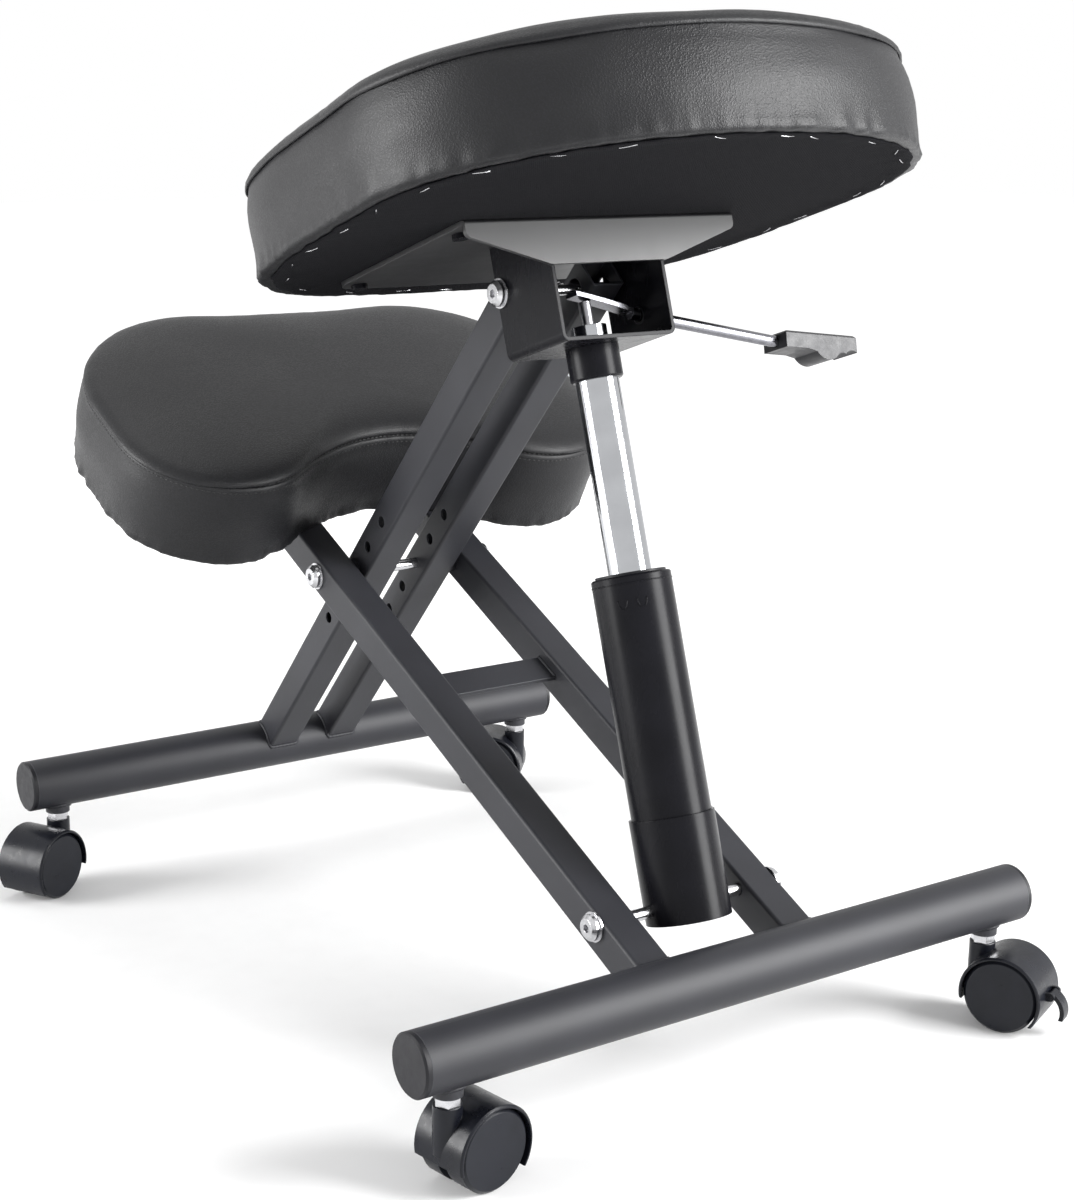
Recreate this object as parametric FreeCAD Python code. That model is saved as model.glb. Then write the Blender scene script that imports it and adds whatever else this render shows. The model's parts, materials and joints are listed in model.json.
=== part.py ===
import FreeCAD, Part
import math
import os

from FreeCAD import Placement, Rotation, Vector

# Kneeling chair in its photographed setting, in millimetres.
# +Z is up, the sitter faces -Y and the sitter's left is +X. The origin is on the floor
# under the middle of the whole outline, which the turned casters draw off the plane
# that halves the frame.
chair_middle_x = -6.8

# Base tubes, one across the rear and one across the front
tube_axis_height = 84.0
base_spacing = 558.0
rear_tube_y = 276.0
base_tube_radius = 19.0
base_tube_wall = 1.5
base_length = 474.4
cap_rim = 4.0
cap_plug_depth = 10.0

# Square legs: the outer pair carries the knee pad, the inner pair carries the seat
leg_size = 25.0
leg_wall = 1.6
leg_corner = 2.4
outer_leg_inner_face = 44.4
inner_leg_inner_face = 13.9
outer_leg_angle = 24.36
outer_leg_drop = 6.0
outer_leg_length = 640.0
pivot_reach = 438.0
cylinder_pin_reach = 62.3
cylinder_pin_drop = 2.0
seat_pivot_reach = 529.0
inner_leg_overshoot = 17.0
setting_pitch = 29.2
settings_above = 2
settings_below = 2

# Flat bar that ties the outer legs together
cross_bar_reach = 298.0
cross_bar_width = 23.0
cross_bar_thickness = 3.0
cross_bar_inset = 9.0
leg_plug_rim = 3.0
leg_plug_depth = 16.0

# Bolts, washers and nuts
bolt_radius = 4.0
bolt_hole_clearance = 0.25
hinge_clearance = 0.06
bolt_head_radius = 8.4
bolt_head_height = 5.0
washer_radius = 9.6
washer_thickness = 1.5
seat_pivot_play = 3.2
hex_socket = 5.0
hex_socket_depth = 2.6

# Gas lift: outer column, its sleeve, the chrome tube and what is inside
sleeve_radius = 27.4
sleeve_below_pin = 9.6
sleeve_above_pin = 56.5
pin_ahead_of_axis = 3.3
column_radius = 25.6
column_wall = 1.8
column_floor = 8.0
column_floor_thickness = 4.0
column_top = 209.0
chrome_radius = 14.0
chrome_wall = 1.6
chrome_overlap = 92.0
bush_length = 82.0
bush_flange = 1.6
gas_fit = 0.08
rod_radius = 5.0
rod_overlap = 78.0
piston_length = 12.0
gland_length = 8.0
thrust_washer_radius = 11.0
thrust_washer_thickness = 2.2
collar_radius = 17.0
collar_length = 21.0
neck_radius = 11.5
neck_above_web = 11.0
valve_radius = 4.0
valve_above_neck = 16.0
valve_depth = 26.0
valve_travel = 3.5
valve_over_travel = 0.8

# Folded bracket under the seat
bracket_width = 87.0
bracket_sheet = 2.5
bracket_rear = 32.0
bracket_front = 31.0
bracket_bend = 5.0
pivot_above_web = 43.5
seat_pivot_offset = 26.7
bracket_height = 73.0
plate_width = 206.0
plate_sheet = 3.0
plate_front = 130.0
plate_corner = 14.0
flap_depth = 26.0

# Lever that opens the gas valve
lever_radius = 4.0
lever_height_above_web = 19.0
lever_fall = 12.2
lever_exit = 112.0
lever_blade_width = 12.0
lever_blade_thickness = 3.0
lever_gap = 0.3
lever_rock_gap = 0.6
lever_over_valve = 0.5
lever_bush_radius = 7.5
handle_length = 62.0
handle_rise = 5.0
handle_socket_depth = 16.0
handle_width = 24.0
handle_thickness = 11.5

# Cushions: plywood board, foam and cover, and a cloth stapled underneath
board_thickness = 12.0
cloth_thickness = 0.8
cushion_rim = 7.0
board_side_gap = 0.4
seat_width = 397.0
seat_flare = 0.037
seat_rear_depth = 158.0
seat_front_depth = 239.0
seat_rear_power = 2.1
seat_front_power = 3.7
seat_arcs = 16
seat_behind_axis = 61.0
seat_foot_scale = 0.973
seat_band = 63.0
seat_crown = 14.0
knee_width = 417.0
knee_depth = 236.0
knee_bay_depth = 46.0
knee_lobe_radius = 76.0
knee_front_corner = 118.0
knee_rear_reach = 442.0
knee_foot_scale = 0.967
knee_band = 66.0
knee_crown = 13.0
knee_screw_reaches = (530.0, 620.0)
screw_radius = 3.0
screw_head_radius = 5.5
screw_head_height = 3.2
screw_clearance = 0.3
screw_edge = 12.0

# Twin-wheel casters
caster_inset = 25.2
wheel_radius = 25.0
wheel_width = 15.2
caster_trail = 20.0
hood_half_width = 20.3
hood_web = 6.4
hood_wall = 2.0
wheel_side_gap = 0.4
wheel_tread_gap = 0.9
axle_radius = 3.0
axle_fit = 0.06
axle_end_cover = 2.4
wheel_shoulder = 2.0
hood_mouth_drop = 11.0
hood_mouth_fall = 12.0
stem_radius = 4.0
hood_boss_radius = 8.6
hood_top = 55.0
stem_depth = 12.0
hex_across = 14.0
hex_height = 5.6
nut_boss_radius = 9.0
nut_boss_length = 16.0
caster_angles = {
    "rear_left": 189.5,
    "rear_right": 114.0,
    "front_left": 29.0,
    "front_right": 318.0,
}
brake_pin_radius = 1.4
brake_width = 10.0
brake_lug = 2.2
brake_lug_radius = 2.8
brake_body_radius = 2.4
brake_pin_distance = 30.7
brake_pin_angle = 6.0
brake_hook_reach = 8.6
brake_hook_drop = 16.0
brake_hook_thickness = 3.0

across = Vector(1, 0, 0)
upright = Vector(0, 0, 1)


# Frames that the pieces are made in

def tilted_frame(y, z, degrees):
    """Frame on the halving plane at this y and z, turned about the X axis."""
    return Placement(Vector(chair_middle_x, y, z), Rotation(across, degrees))


front_tube_y = rear_tube_y - base_spacing
rear_frame = tilted_frame(rear_tube_y, tube_axis_height, 0)
front_frame = tilted_frame(front_tube_y, tube_axis_height, 0)

# In the outer-leg frame -Y runs up the legs; in the inner-leg frame +Y runs up them.
outer_frame = tilted_frame(rear_tube_y, tube_axis_height, -outer_leg_angle)
cross_pivot = outer_frame.multVec(Vector(0, -pivot_reach, -outer_leg_drop))
cylinder_pin = outer_frame.multVec(Vector(0, -cylinder_pin_reach, -cylinder_pin_drop))
pivot_y = cross_pivot.y - front_tube_y
pivot_z = cross_pivot.z - tube_axis_height
inner_leg_angle = math.degrees(math.atan2(pivot_z, pivot_y))
inner_frame = tilted_frame(front_tube_y, tube_axis_height, inner_leg_angle)
inner_pivot_reach = math.hypot(pivot_y, pivot_z)
seat_pivot = inner_frame.multVec(Vector(0, seat_pivot_reach, 0))

# The gas lift leans so that the bracket's pivot meets the top of the inner legs. In its
# frame +Z runs up the lift's axis, just behind the cylinder pin, and -Y is the seat's front.
pin_to_pivot = seat_pivot.sub(cylinder_pin)
pivot_ahead_of_pin = seat_pivot_offset - pin_ahead_of_axis
pivot_height = math.sqrt(pin_to_pivot.Length ** 2 - pivot_ahead_of_pin ** 2)
pivot_lean = math.degrees(math.atan2(-pin_to_pivot.y, pin_to_pivot.z))
gas_lean = pivot_lean - math.degrees(math.asin(pivot_ahead_of_pin / pin_to_pivot.Length))
pin_frame = tilted_frame(cylinder_pin.y, cylinder_pin.z, gas_lean)
axis_foot = pin_frame.multVec(Vector(0, pin_ahead_of_axis, 0))
gas_frame = tilted_frame(axis_foot.y, axis_foot.z, gas_lean)
web_height = pivot_height - pivot_above_web
plate_height = web_height + bracket_height
seat_base = plate_height + plate_sheet + cloth_thickness
outer_leg_top = leg_size / 2 - outer_leg_drop
knee_base = outer_leg_top + cloth_thickness
seat_depth = seat_rear_depth + seat_front_depth
outer_leg_centre = outer_leg_inner_face + leg_size / 2
inner_leg_centre = inner_leg_inner_face + leg_size / 2
outer_leg_outer_face = outer_leg_inner_face + leg_size
chrome_bottom = column_top - chrome_overlap
neck_top = web_height + bracket_sheet + neck_above_web
valve_top = neck_top + valve_above_neck
lever_height = web_height + lever_height_above_web
hood_radius = wheel_radius + wheel_tread_gap + hood_wall
caster_x = base_length / 2 - caster_inset
valve_bore = valve_depth + valve_travel + valve_over_travel


# Simple solids

def placed(shape, frame):
    """The shape moved from a frame's own coordinates to the chair's."""
    moved = shape.copy()
    moved.Placement = frame.multiply(moved.Placement)
    return moved


def rod(radius, start, end):
    """Solid cylinder from one point to another."""
    return Part.makeCylinder(radius, end.sub(start).Length, start, end.sub(start))


def drum(radius, start, end, chamfer):
    """Solid cylinder whose far rim is chamfered."""
    axis = end.sub(start).normalize()
    shoulder = end.sub(axis * chamfer)
    return rod(radius, start, shoulder).fuse(Part.makeCone(radius, radius - chamfer, chamfer, shoulder, axis))


def cross_rod(radius, x_start, x_end, y=0.0, z=0.0):
    """Solid cylinder across the chair."""
    return rod(radius, Vector(x_start, y, z), Vector(x_end, y, z))


def post(radius, bottom, top, x=0.0, y=0.0):
    """Solid cylinder along Z."""
    return rod(radius, Vector(x, y, bottom), Vector(x, y, top))


def block(x_start, x_end, y_start, y_end, z_start, z_end):
    """Solid box between these limits."""
    corner = Vector(x_start, y_start, z_start)
    return Part.makeBox(x_end - x_start, y_end - y_start, z_end - z_start, corner)


def edges_along(shape, direction):
    """The straight edges of a shape that run in this direction."""
    found = []
    for edge in shape.Edges:
        run = edge.lastVertex().Point.sub(edge.firstVertex().Point)
        if run.Length > 1e-6 and abs(run.dot(direction)) > 0.999 * run.Length:
            found.append(edge)
    return found


def hexagon_rod(across_flats, start, end):
    """Hexagonal bar from one point to another."""
    axis = end.sub(start)
    radius = across_flats / math.sqrt(3)
    corners = [Vector(radius * math.cos(i * math.pi / 3), radius * math.sin(i * math.pi / 3), 0)
               for i in range(6)]
    bar = Part.Face(Part.makePolygon(corners + corners[:1])).extrude(Vector(0, 0, axis.Length))
    bar.Placement = Placement(start, Rotation(upright, axis))
    return bar


def cut_all(shape, tools):
    """The shape with every tool cut out of it."""
    for tool in tools:
        shape = shape.cut(tool)
    return shape


def mirrored_pair(make):
    """One group of the two solids that make(side) gives for the two sides."""
    return Part.makeCompound([make(-1), make(1)])


# Base tubes, end caps and what the casters screw into

def base_tube():
    """Round tube across the base, with a hole under each end for a caster nut."""
    half = base_length / 2 - cap_rim
    shape = cross_rod(base_tube_radius, -half, half)
    shape = shape.cut(cross_rod(base_tube_radius - base_tube_wall, -half, half))
    holes = [post(nut_boss_radius + bolt_hole_clearance, -2 * base_tube_radius, 0, side * caster_x)
             for side in (-1, 1)]
    return cut_all(shape, holes)


def end_cap(side):
    """Plastic cap: a rim as wide as the tube and a plug inside it."""
    face = base_length / 2
    rim = drum(base_tube_radius, Vector(side * (face - cap_rim), 0, 0), Vector(side * face, 0, 0), 1.2)
    plug_radius = base_tube_radius - base_tube_wall - bolt_hole_clearance
    return rim.fuse(cross_rod(plug_radius, side * (face - cap_rim - cap_plug_depth), side * (face - cap_rim)))


def caster_nut(side):
    """Round welded nut that stands out of the tube's underside."""
    bottom = hood_top + hex_height - tube_axis_height
    outer = post(nut_boss_radius, bottom, bottom + nut_boss_length, side * caster_x)
    return outer.cut(post(stem_radius, bottom, bottom + nut_boss_length, side * caster_x))


def caster_stem(side):
    """Zinc stem: threaded end in the nut, hexagon, and the spigot that the hood turns on."""
    x = side * caster_x
    bottom = hood_top - tube_axis_height
    hexagon = hexagon_rod(hex_across, Vector(x, 0, bottom), Vector(x, 0, bottom + hex_height))
    thread = post(stem_radius - 0.1, bottom + hex_height,
                  bottom + hex_height + nut_boss_length - 2.0, x)
    return hexagon.fuse([thread, post(stem_radius, bottom - stem_depth, bottom, x)])


# Legs

def square_tube(x_centre, y_start, y_end, z_centre):
    """Square tube along Y with rounded outer corners, open at both ends."""
    half = leg_size / 2
    inner = half - leg_wall
    outside = block(x_centre - half, x_centre + half, y_start, y_end, z_centre - half, z_centre + half)
    outside = outside.makeFillet(leg_corner, edges_along(outside, Vector(0, 1, 0)))
    inside = block(x_centre - inner, x_centre + inner, y_start, y_end, z_centre - inner, z_centre + inner)
    return outside.cut(inside)


def bolt_hole(x_centre, y, z, radius):
    """Drill through one leg, across the chair."""
    return cross_rod(radius, x_centre - leg_size, x_centre + leg_size, y, z)


def outer_leg(side):
    """Leg from the rear tube, where it is coped, up under the knee pad."""
    x = side * outer_leg_centre
    leg = square_tube(x, -outer_leg_length, 0, -outer_leg_drop)
    hole = bolt_radius + bolt_hole_clearance
    tools = [bolt_hole(x, -pivot_reach, -outer_leg_drop, hole),
             bolt_hole(x, -cylinder_pin_reach, -cylinder_pin_drop, hole)]
    tools += [post(screw_radius + screw_clearance, -leg_size, leg_size, x, -reach)
              for reach in knee_screw_reaches]
    tools.append(cross_rod(base_tube_radius, x - leg_size, x + leg_size))
    return placed(cut_all(leg, tools), outer_frame)


def leg_plug(side):
    """Plastic plug that closes an outer leg's upper end."""
    x = side * outer_leg_centre
    half = leg_size / 2
    inner = half - leg_wall - bolt_hole_clearance
    rim = block(x - half, x + half, -outer_leg_length - leg_plug_rim, -outer_leg_length,
                -outer_leg_drop - half, -outer_leg_drop + half)
    rim = rim.makeChamfer(leg_corner / 2, edges_along(rim, Vector(0, 1, 0)))
    plug = block(x - inner, x + inner, -outer_leg_length, -outer_leg_length + leg_plug_depth,
                 -outer_leg_drop - inner, -outer_leg_drop + inner)
    return placed(rim.fuse(plug), outer_frame)


def inner_leg(side):
    """Leg from the front tube to the seat bracket, with a row of setting holes."""
    x = side * inner_leg_centre
    leg = square_tube(x, 0, seat_pivot_reach + inner_leg_overshoot, 0)
    hole = bolt_radius + bolt_hole_clearance
    tools = [bolt_hole(x, inner_pivot_reach + i * setting_pitch, 0, hole)
             for i in range(-settings_below, settings_above + 1) if i]
    tools.append(bolt_hole(x, inner_pivot_reach, 0, bolt_radius + hinge_clearance))
    tools.append(bolt_hole(x, seat_pivot_reach, 0, bolt_radius + seat_pivot_play))
    tools.append(cross_rod(base_tube_radius, x - leg_size, x + leg_size))
    return placed(cut_all(leg, tools), inner_frame)


def leg_cross_bar():
    """Flat bar welded between the outer legs, just below their upper faces."""
    top = outer_leg_top - cross_bar_inset
    return placed(
        block(-outer_leg_inner_face, outer_leg_inner_face, -cross_bar_reach - cross_bar_width / 2,
              -cross_bar_reach + cross_bar_width / 2, top - cross_bar_thickness, top),
        outer_frame)


# Bolts

def domed_head(half_span, side):
    """Washer and low domed head with a hexagon socket, outside this half span."""
    seat = Vector(side * (half_span + washer_thickness), 0, 0)
    top = Vector(side * (half_span + washer_thickness + bolt_head_height), 0, 0)
    socket_floor = Vector(top.x - side * hex_socket_depth, 0, 0)
    head = drum(bolt_head_radius, seat, top, bolt_head_height * 0.45)
    return head.cut(hexagon_rod(hex_socket, socket_floor, top)).fuse(cross_rod(washer_radius, side * half_span, seat.x))


def cross_bolt(centre, half_span):
    """Bolt along X, its head on the sitter's left."""
    shank = cross_rod(bolt_radius, -half_span - washer_thickness, half_span + washer_thickness)
    return placed(shank.fuse(domed_head(half_span, 1)), Placement(centre, Rotation()))


def cross_nut(centre, half_span):
    """Domed nut and washer on the sitter's right."""
    hole = cross_rod(bolt_radius + gas_fit, -half_span - washer_thickness, 0)
    return placed(domed_head(half_span, -1).cut(hole), Placement(centre, Rotation()))


def pivot_washers():
    """Nylon washers between the outer and the inner legs at the cross pivot."""
    inner_face = inner_leg_inner_face + leg_size + 0.15
    outer_face = outer_leg_inner_face - 0.15

    def washer(side):
        ring = cross_rod(washer_radius, side * inner_face, side * outer_face)
        return ring.cut(cross_rod(bolt_radius + hinge_clearance, side * inner_face, side * outer_face))

    return placed(mirrored_pair(washer), Placement(cross_pivot, Rotation()))


# Gas lift

def cylinder_sleeve():
    """Short wide sleeve round the column's foot, hinged on the cylinder pin."""
    inside = column_radius + gas_fit
    sleeve = post(sleeve_radius, -sleeve_below_pin, sleeve_above_pin)
    sleeve = sleeve.cut(post(inside, -sleeve_below_pin, sleeve_above_pin))
    pin_hole = cross_rod(bolt_radius + hinge_clearance, -2 * sleeve_radius, 2 * sleeve_radius, -pin_ahead_of_axis)
    return placed(sleeve.cut(pin_hole), gas_frame)


def column():
    """Outer tube of the gas lift, closed at its foot round the end of the piston rod."""
    tube = drum(column_radius, Vector(0, 0, column_floor), Vector(0, 0, column_top), 1.0)
    tube = tube.cut(post(column_radius - column_wall, column_floor + column_floor_thickness, column_top))
    return placed(tube.cut(post(rod_radius + gas_fit, 0, column_top)), gas_frame)


def guide_bush():
    """Plastic bush that the chrome tube slides in, with a flange at the column's mouth."""
    inside = chrome_radius + gas_fit
    body = post(column_radius - column_wall - gas_fit, column_top - bush_length, column_top)
    flange = post(column_radius - 3.0, column_top, column_top + bush_flange)
    return placed(body.fuse(flange).cut(post(inside, 0, 2 * column_top)), gas_frame)


def piston_rod():
    """Rod held in the column's floor, with the piston at its top."""
    top = chrome_bottom + rod_overlap
    bottom = column_floor - 2.0
    shaft = post(rod_radius, bottom, top)
    piston = post(chrome_radius - chrome_wall - gas_fit, top - piston_length, top)
    return placed(shaft.fuse(piston), gas_frame)


def thrust_washers():
    """Stack of thrust washers that the rod carries on the column's floor."""
    floor = column_floor + column_floor_thickness
    stack = post(thrust_washer_radius, floor, floor + thrust_washer_thickness)
    return placed(stack.cut(post(rod_radius + gas_fit, 0, column_top)), gas_frame)


def pressure_tube():
    """Chrome tube with the gland at its foot and the neck that passes through the web."""
    shoulder = web_height - collar_length
    tube = post(chrome_radius, chrome_bottom, web_height)
    bore = post(chrome_radius - chrome_wall, chrome_bottom + gland_length, shoulder)
    rod_way = post(rod_radius + gas_fit, chrome_bottom, shoulder)
    valve_way = post(valve_radius + gas_fit, neck_top - valve_bore, neck_top)
    neck = post(neck_radius, web_height, neck_top)
    return placed(cut_all(tube.fuse(neck), [bore, rod_way, valve_way]), gas_frame)


def taper_collar():
    """Black collar under the bracket that grips the top of the chrome tube."""
    bottom = web_height - collar_length
    collar = drum(collar_radius, Vector(0, 0, web_height), Vector(0, 0, bottom), 1.2)
    return placed(collar.cut(post(chrome_radius, bottom, web_height)), gas_frame)


def valve_pin():
    """Button that the lever presses to release the gas lift."""
    return placed(post(valve_radius, neck_top - valve_depth, valve_top), gas_frame)


# Seat bracket, its plate and the lever

def seat_bracket():
    """Channel folded from sheet: a web on the collar and two walls up to the plate."""
    half = bracket_width / 2
    channel = block(-half, half, -bracket_front, bracket_rear, web_height, plate_height)
    low_edges = [e for e in edges_along(channel, Vector(0, 1, 0)) if e.BoundBox.ZMax < web_height + 1]
    channel = channel.makeFillet(bracket_bend, low_edges)
    inside_half = half - bracket_sheet
    inside = block(-inside_half, inside_half, -bracket_front, bracket_rear,
                   web_height + bracket_sheet, plate_height)
    inner_edges = [e for e in edges_along(inside, Vector(0, 1, 0))
                   if e.BoundBox.ZMax < web_height + bracket_sheet + 1]
    inside = inside.makeFillet(bracket_bend - bracket_sheet, inner_edges)
    tools = [
        inside,
        post(neck_radius + gas_fit, 0, plate_height),
        cross_rod(bolt_radius + bolt_hole_clearance, -half, half, -seat_pivot_offset, pivot_height),
        cross_rod(lever_bush_radius - 1.5, -half, 0, 0, lever_height),
    ]
    return placed(cut_all(channel, tools), gas_frame)


def seat_screw_places():
    """Where the seat's screws stand, as (x, y) in the gas-lift frame."""
    x = plate_width / 2 - screw_edge
    rear = bracket_rear - plate_sheet - 1.5 * screw_edge
    return [(side * x, y) for side in (-1, 1) for y in (-plate_front + screw_edge, rear)]


def seat_plate():
    """Plate under the seat, with a tapered flap folded down behind the bracket."""
    half = plate_width / 2
    rear = bracket_rear
    top = plate_height + plate_sheet
    plate = block(-half, half, -plate_front, rear, plate_height, top)
    front_edges = [e for e in edges_along(plate, upright) if e.BoundBox.YMax < 0]
    plate = plate.makeFillet(plate_corner, front_edges)
    bend = [e for e in edges_along(plate, across) if e.BoundBox.YMin > rear - 1 and e.BoundBox.ZMin > top - 1]
    plate = plate.makeFillet(plate_sheet * 0.8, bend)
    low = plate_height - flap_depth
    foot = bracket_width / 2 + 1.0
    shoulder = plate_height - 7.0
    corners = [Vector(-half, rear, plate_height), Vector(-half, rear, shoulder), Vector(-foot, rear, low),
               Vector(foot, rear, low), Vector(half, rear, shoulder), Vector(half, rear, plate_height)]
    flap = Part.Face(Part.makePolygon(corners + corners[:1])).extrude(Vector(0, plate_sheet, 0))
    flap_corners = [e for e in edges_along(flap, Vector(0, 1, 0)) if e.BoundBox.ZMax < plate_height - 1]
    flap = flap.makeFillet(5.0, flap_corners)
    strip = block(-half, half, rear - plate_sheet, rear + plate_sheet, plate_height, top)
    outer_bend = [e for e in edges_along(strip, across)
                  if e.BoundBox.YMin > rear + plate_sheet / 2 and e.BoundBox.ZMin > top - 1]
    strip = strip.makeFillet(plate_sheet * 0.8, outer_bend)
    shape = plate.fuse([flap, strip])
    holes = [post(screw_radius + screw_clearance, 0, 2 * plate_height, x, y)
             for x, y in seat_screw_places()]
    return placed(cut_all(shape, holes), gas_frame)


def lever_frame():
    """Frame on the wall of the bracket where the lever rocks, its -X running down the rod."""
    wall = -bracket_width / 2 + bracket_sheet / 2
    rock = Placement(Vector(wall, 0, lever_height), Rotation(Vector(0, 1, 0), -lever_fall))
    return gas_frame.multiply(rock)


def lever_bush():
    """Plastic grommet in the bracket's wall, bored along the lever that rocks in it."""
    half = bracket_width / 2
    flange = cross_rod(lever_bush_radius, -half - 2.0, -half, 0, lever_height)
    barrel = cross_rod(lever_bush_radius - 1.5, -half, -half + bracket_sheet, 0, lever_height)
    hole = cross_rod(lever_radius + lever_rock_gap, -leg_size, leg_size)
    return placed(flange.fuse(barrel), gas_frame).cut(placed(hole, lever_frame()))


def lever_rod():
    """Round rod flattened inside the bracket to a blade that rises over the valve."""
    shaft = cross_rod(lever_radius, -lever_exit - handle_socket_depth, 8.0)
    shaft = placed(shaft, gas_frame.inverse().multiply(lever_frame()))
    wall = -bracket_width / 2
    start_x = wall + bracket_sheet + 7.0
    low = valve_top + lever_over_valve
    start_z = lever_height + (start_x - wall) * math.tan(math.radians(lever_fall)) - 1.0
    tip_x = 9.0

    def curve(lift):
        return Part.Arc(Vector(start_x, 0, start_z + lift), Vector(start_x / 3, 0, low - 2.6 + lift),
                        Vector(tip_x, 0, low + 3.0 + lift)).toShape()

    lower = curve(0)
    upper = curve(lever_blade_thickness)
    sides = [Part.makeLine(lower.lastVertex().Point, upper.lastVertex().Point),
             Part.makeLine(upper.firstVertex().Point, lower.firstVertex().Point)]
    outline = Part.Wire(Part.__sortEdges__([lower, upper] + sides))
    blade = Part.Face(outline).extrude(Vector(0, lever_blade_width, 0))
    blade.translate(Vector(0, -lever_blade_width / 2, 0))
    return placed(shaft.fuse(blade), gas_frame)


def lever_handle():
    """Plastic grip, flat above, with finger hollows and a swelling below; it bends up off the rod."""
    top = handle_thickness / 2
    low = -handle_thickness / 2
    end = -handle_length
    hollow = handle_length / 8

    def arc(first, last, z_first, z_middle, z_last):
        """Arc of the underside between two stations counted in hollows from the tip."""
        return Part.Arc(Vector(end + first * hollow, 0, z_first), Vector(end + (first + last) / 2 * hollow, 0, z_middle),
                        Vector(end + last * hollow, 0, z_last)).toShape()

    outline = [
        Part.makeLine(Vector(0, 0, low), Vector(0, 0, top)),
        Part.makeLine(Vector(0, 0, top), Vector(end, 0, top)),
        Part.makeLine(Vector(end, 0, top), Vector(end, 0, low - 0.5)),
        arc(0, 1.3, low - 0.5, low + 0.8, low - 2.0),
        arc(1.3, 2.3, low - 2.0, low - 1.2, low - 4.2),
        arc(2.3, 4.6, low - 4.2, low - 6.6, low - 1.5),
        Part.makeLine(Vector(end + 4.6 * hollow, 0, low - 1.5), Vector(end + 5.6 * hollow, 0, low)),
        Part.makeLine(Vector(end + 5.6 * hollow, 0, low), Vector(0, 0, low)),
    ]
    grip = Part.Face(Part.Wire(outline)).extrude(Vector(0, handle_width, 0))
    grip.translate(Vector(0, -handle_width / 2, 0))
    upper = [e for e in grip.Edges if e.BoundBox.ZMin > top - 0.1]
    grip = grip.makeChamfer(1.6, upper)
    grip.Placement = Placement(Vector(-lever_exit, 0, 0), Rotation(Vector(0, 1, 0), handle_rise))
    socket = cross_rod(lever_radius + gas_fit, -lever_exit - handle_socket_depth - gas_fit, 0)
    return placed(grip.cut(socket), lever_frame())


# Cushions

def seat_point(turn):
    """Point of the seat's plan at this turn: a squarish front half and a rounder rear."""
    run = math.cos(math.radians(turn))
    rise = math.sin(math.radians(turn))
    power = seat_rear_power if rise > 0 else seat_front_power
    depth = seat_rear_depth if rise > 0 else seat_front_depth
    y = math.copysign(abs(rise) ** (2 / power), rise) * depth
    x = math.copysign(abs(run) ** (2 / power), run) * seat_width / 2
    return Vector(x * (1 + seat_flare * 2 * y / seat_width), y + seat_behind_axis, 0)


def seat_outline():
    """Plan of the seat as a ring of arcs."""
    step = 360 / seat_arcs
    ends = [seat_point(i * step) for i in range(seat_arcs)]
    edges = [Part.Arc(ends[i - 1], seat_point((i - 0.5) * step), ends[i]).toShape() for i in range(seat_arcs)]
    return Part.Wire(Part.__sortEdges__(edges))


def knee_outline():
    """Plan of the knee pad: two lobes with a bay between them at the rear."""
    half = knee_width / 2
    rear = -knee_rear_reach
    front = rear - knee_depth
    lobe_x = half - knee_lobe_radius
    lobe_y = rear - knee_lobe_radius
    bay = rear - knee_bay_depth
    rise = bay - lobe_y
    bay_radius = (lobe_x ** 2 + rise ** 2 - knee_lobe_radius ** 2) / (2 * (knee_lobe_radius - rise))
    bay_centre = Vector(0, bay + bay_radius, 0)
    meeting = math.degrees(math.atan2(bay_centre.y - lobe_y, -lobe_x))
    corner_x = half - knee_front_corner
    corner_y = front + knee_front_corner

    def arc(centre, radius, first, last):
        circle = Part.Circle(centre, upright, radius)
        return Part.Arc(circle, math.radians(first), math.radians(last)).toShape()

    right_lobe = Vector(lobe_x, lobe_y, 0)
    left_lobe = Vector(-lobe_x, lobe_y, 0)
    edges = [
        arc(Vector(corner_x, corner_y, 0), knee_front_corner, -90, 0),
        Part.makeLine(Vector(half, corner_y, 0), Vector(half, lobe_y, 0)),
        arc(right_lobe, knee_lobe_radius, 0, meeting),
        arc(bay_centre, bay_radius, -meeting, meeting - 180),
        arc(left_lobe, knee_lobe_radius, 180 - meeting, 180),
        Part.makeLine(Vector(-half, lobe_y, 0), Vector(-half, corner_y, 0)),
        arc(Vector(-corner_x, corner_y, 0), knee_front_corner, 180, 270),
        Part.makeLine(Vector(-corner_x, front, 0), Vector(corner_x, front, 0)),
    ]
    return Part.Wire(Part.__sortEdges__(edges))


def outline_at(outline, centre, scale, height):
    """The outline shrunk towards its centre and lifted."""
    section = outline.copy()
    section.scale(scale, centre)
    section.translate(Vector(0, 0, height))
    return section


def slab_between(outline, centre, scale, bottom, top):
    """Upright slab with a shrunken copy of the outline."""
    section = outline_at(outline, centre, scale, bottom)
    return Part.Face(section).extrude(Vector(0, 0, top - bottom))


def cushion(outline, centre, base, band, crown, foot_scale, inset):
    """Foam and cover: sides drawn in at the foot, a crowned top and a recess for the board."""
    seam = 0.993
    levels = [(foot_scale, 0), (0.25 * foot_scale + 0.75, band * 0.25), (1.0, band * 0.6), (seam, band)]
    crown_steps = 3
    for step in range(1, crown_steps + 1):
        turn = step / crown_steps * math.pi / 2
        levels.append((seam * (1 - 0.5 * (1 - math.cos(turn))), band + crown * math.sin(turn)))
    sections = [outline_at(outline, centre, scale, base + height) for scale, height in levels]
    body = Part.makeLoft(sections, True, True)
    recess = slab_between(outline, centre, inset, base, base + board_thickness)
    return body.cut(recess)


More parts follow.
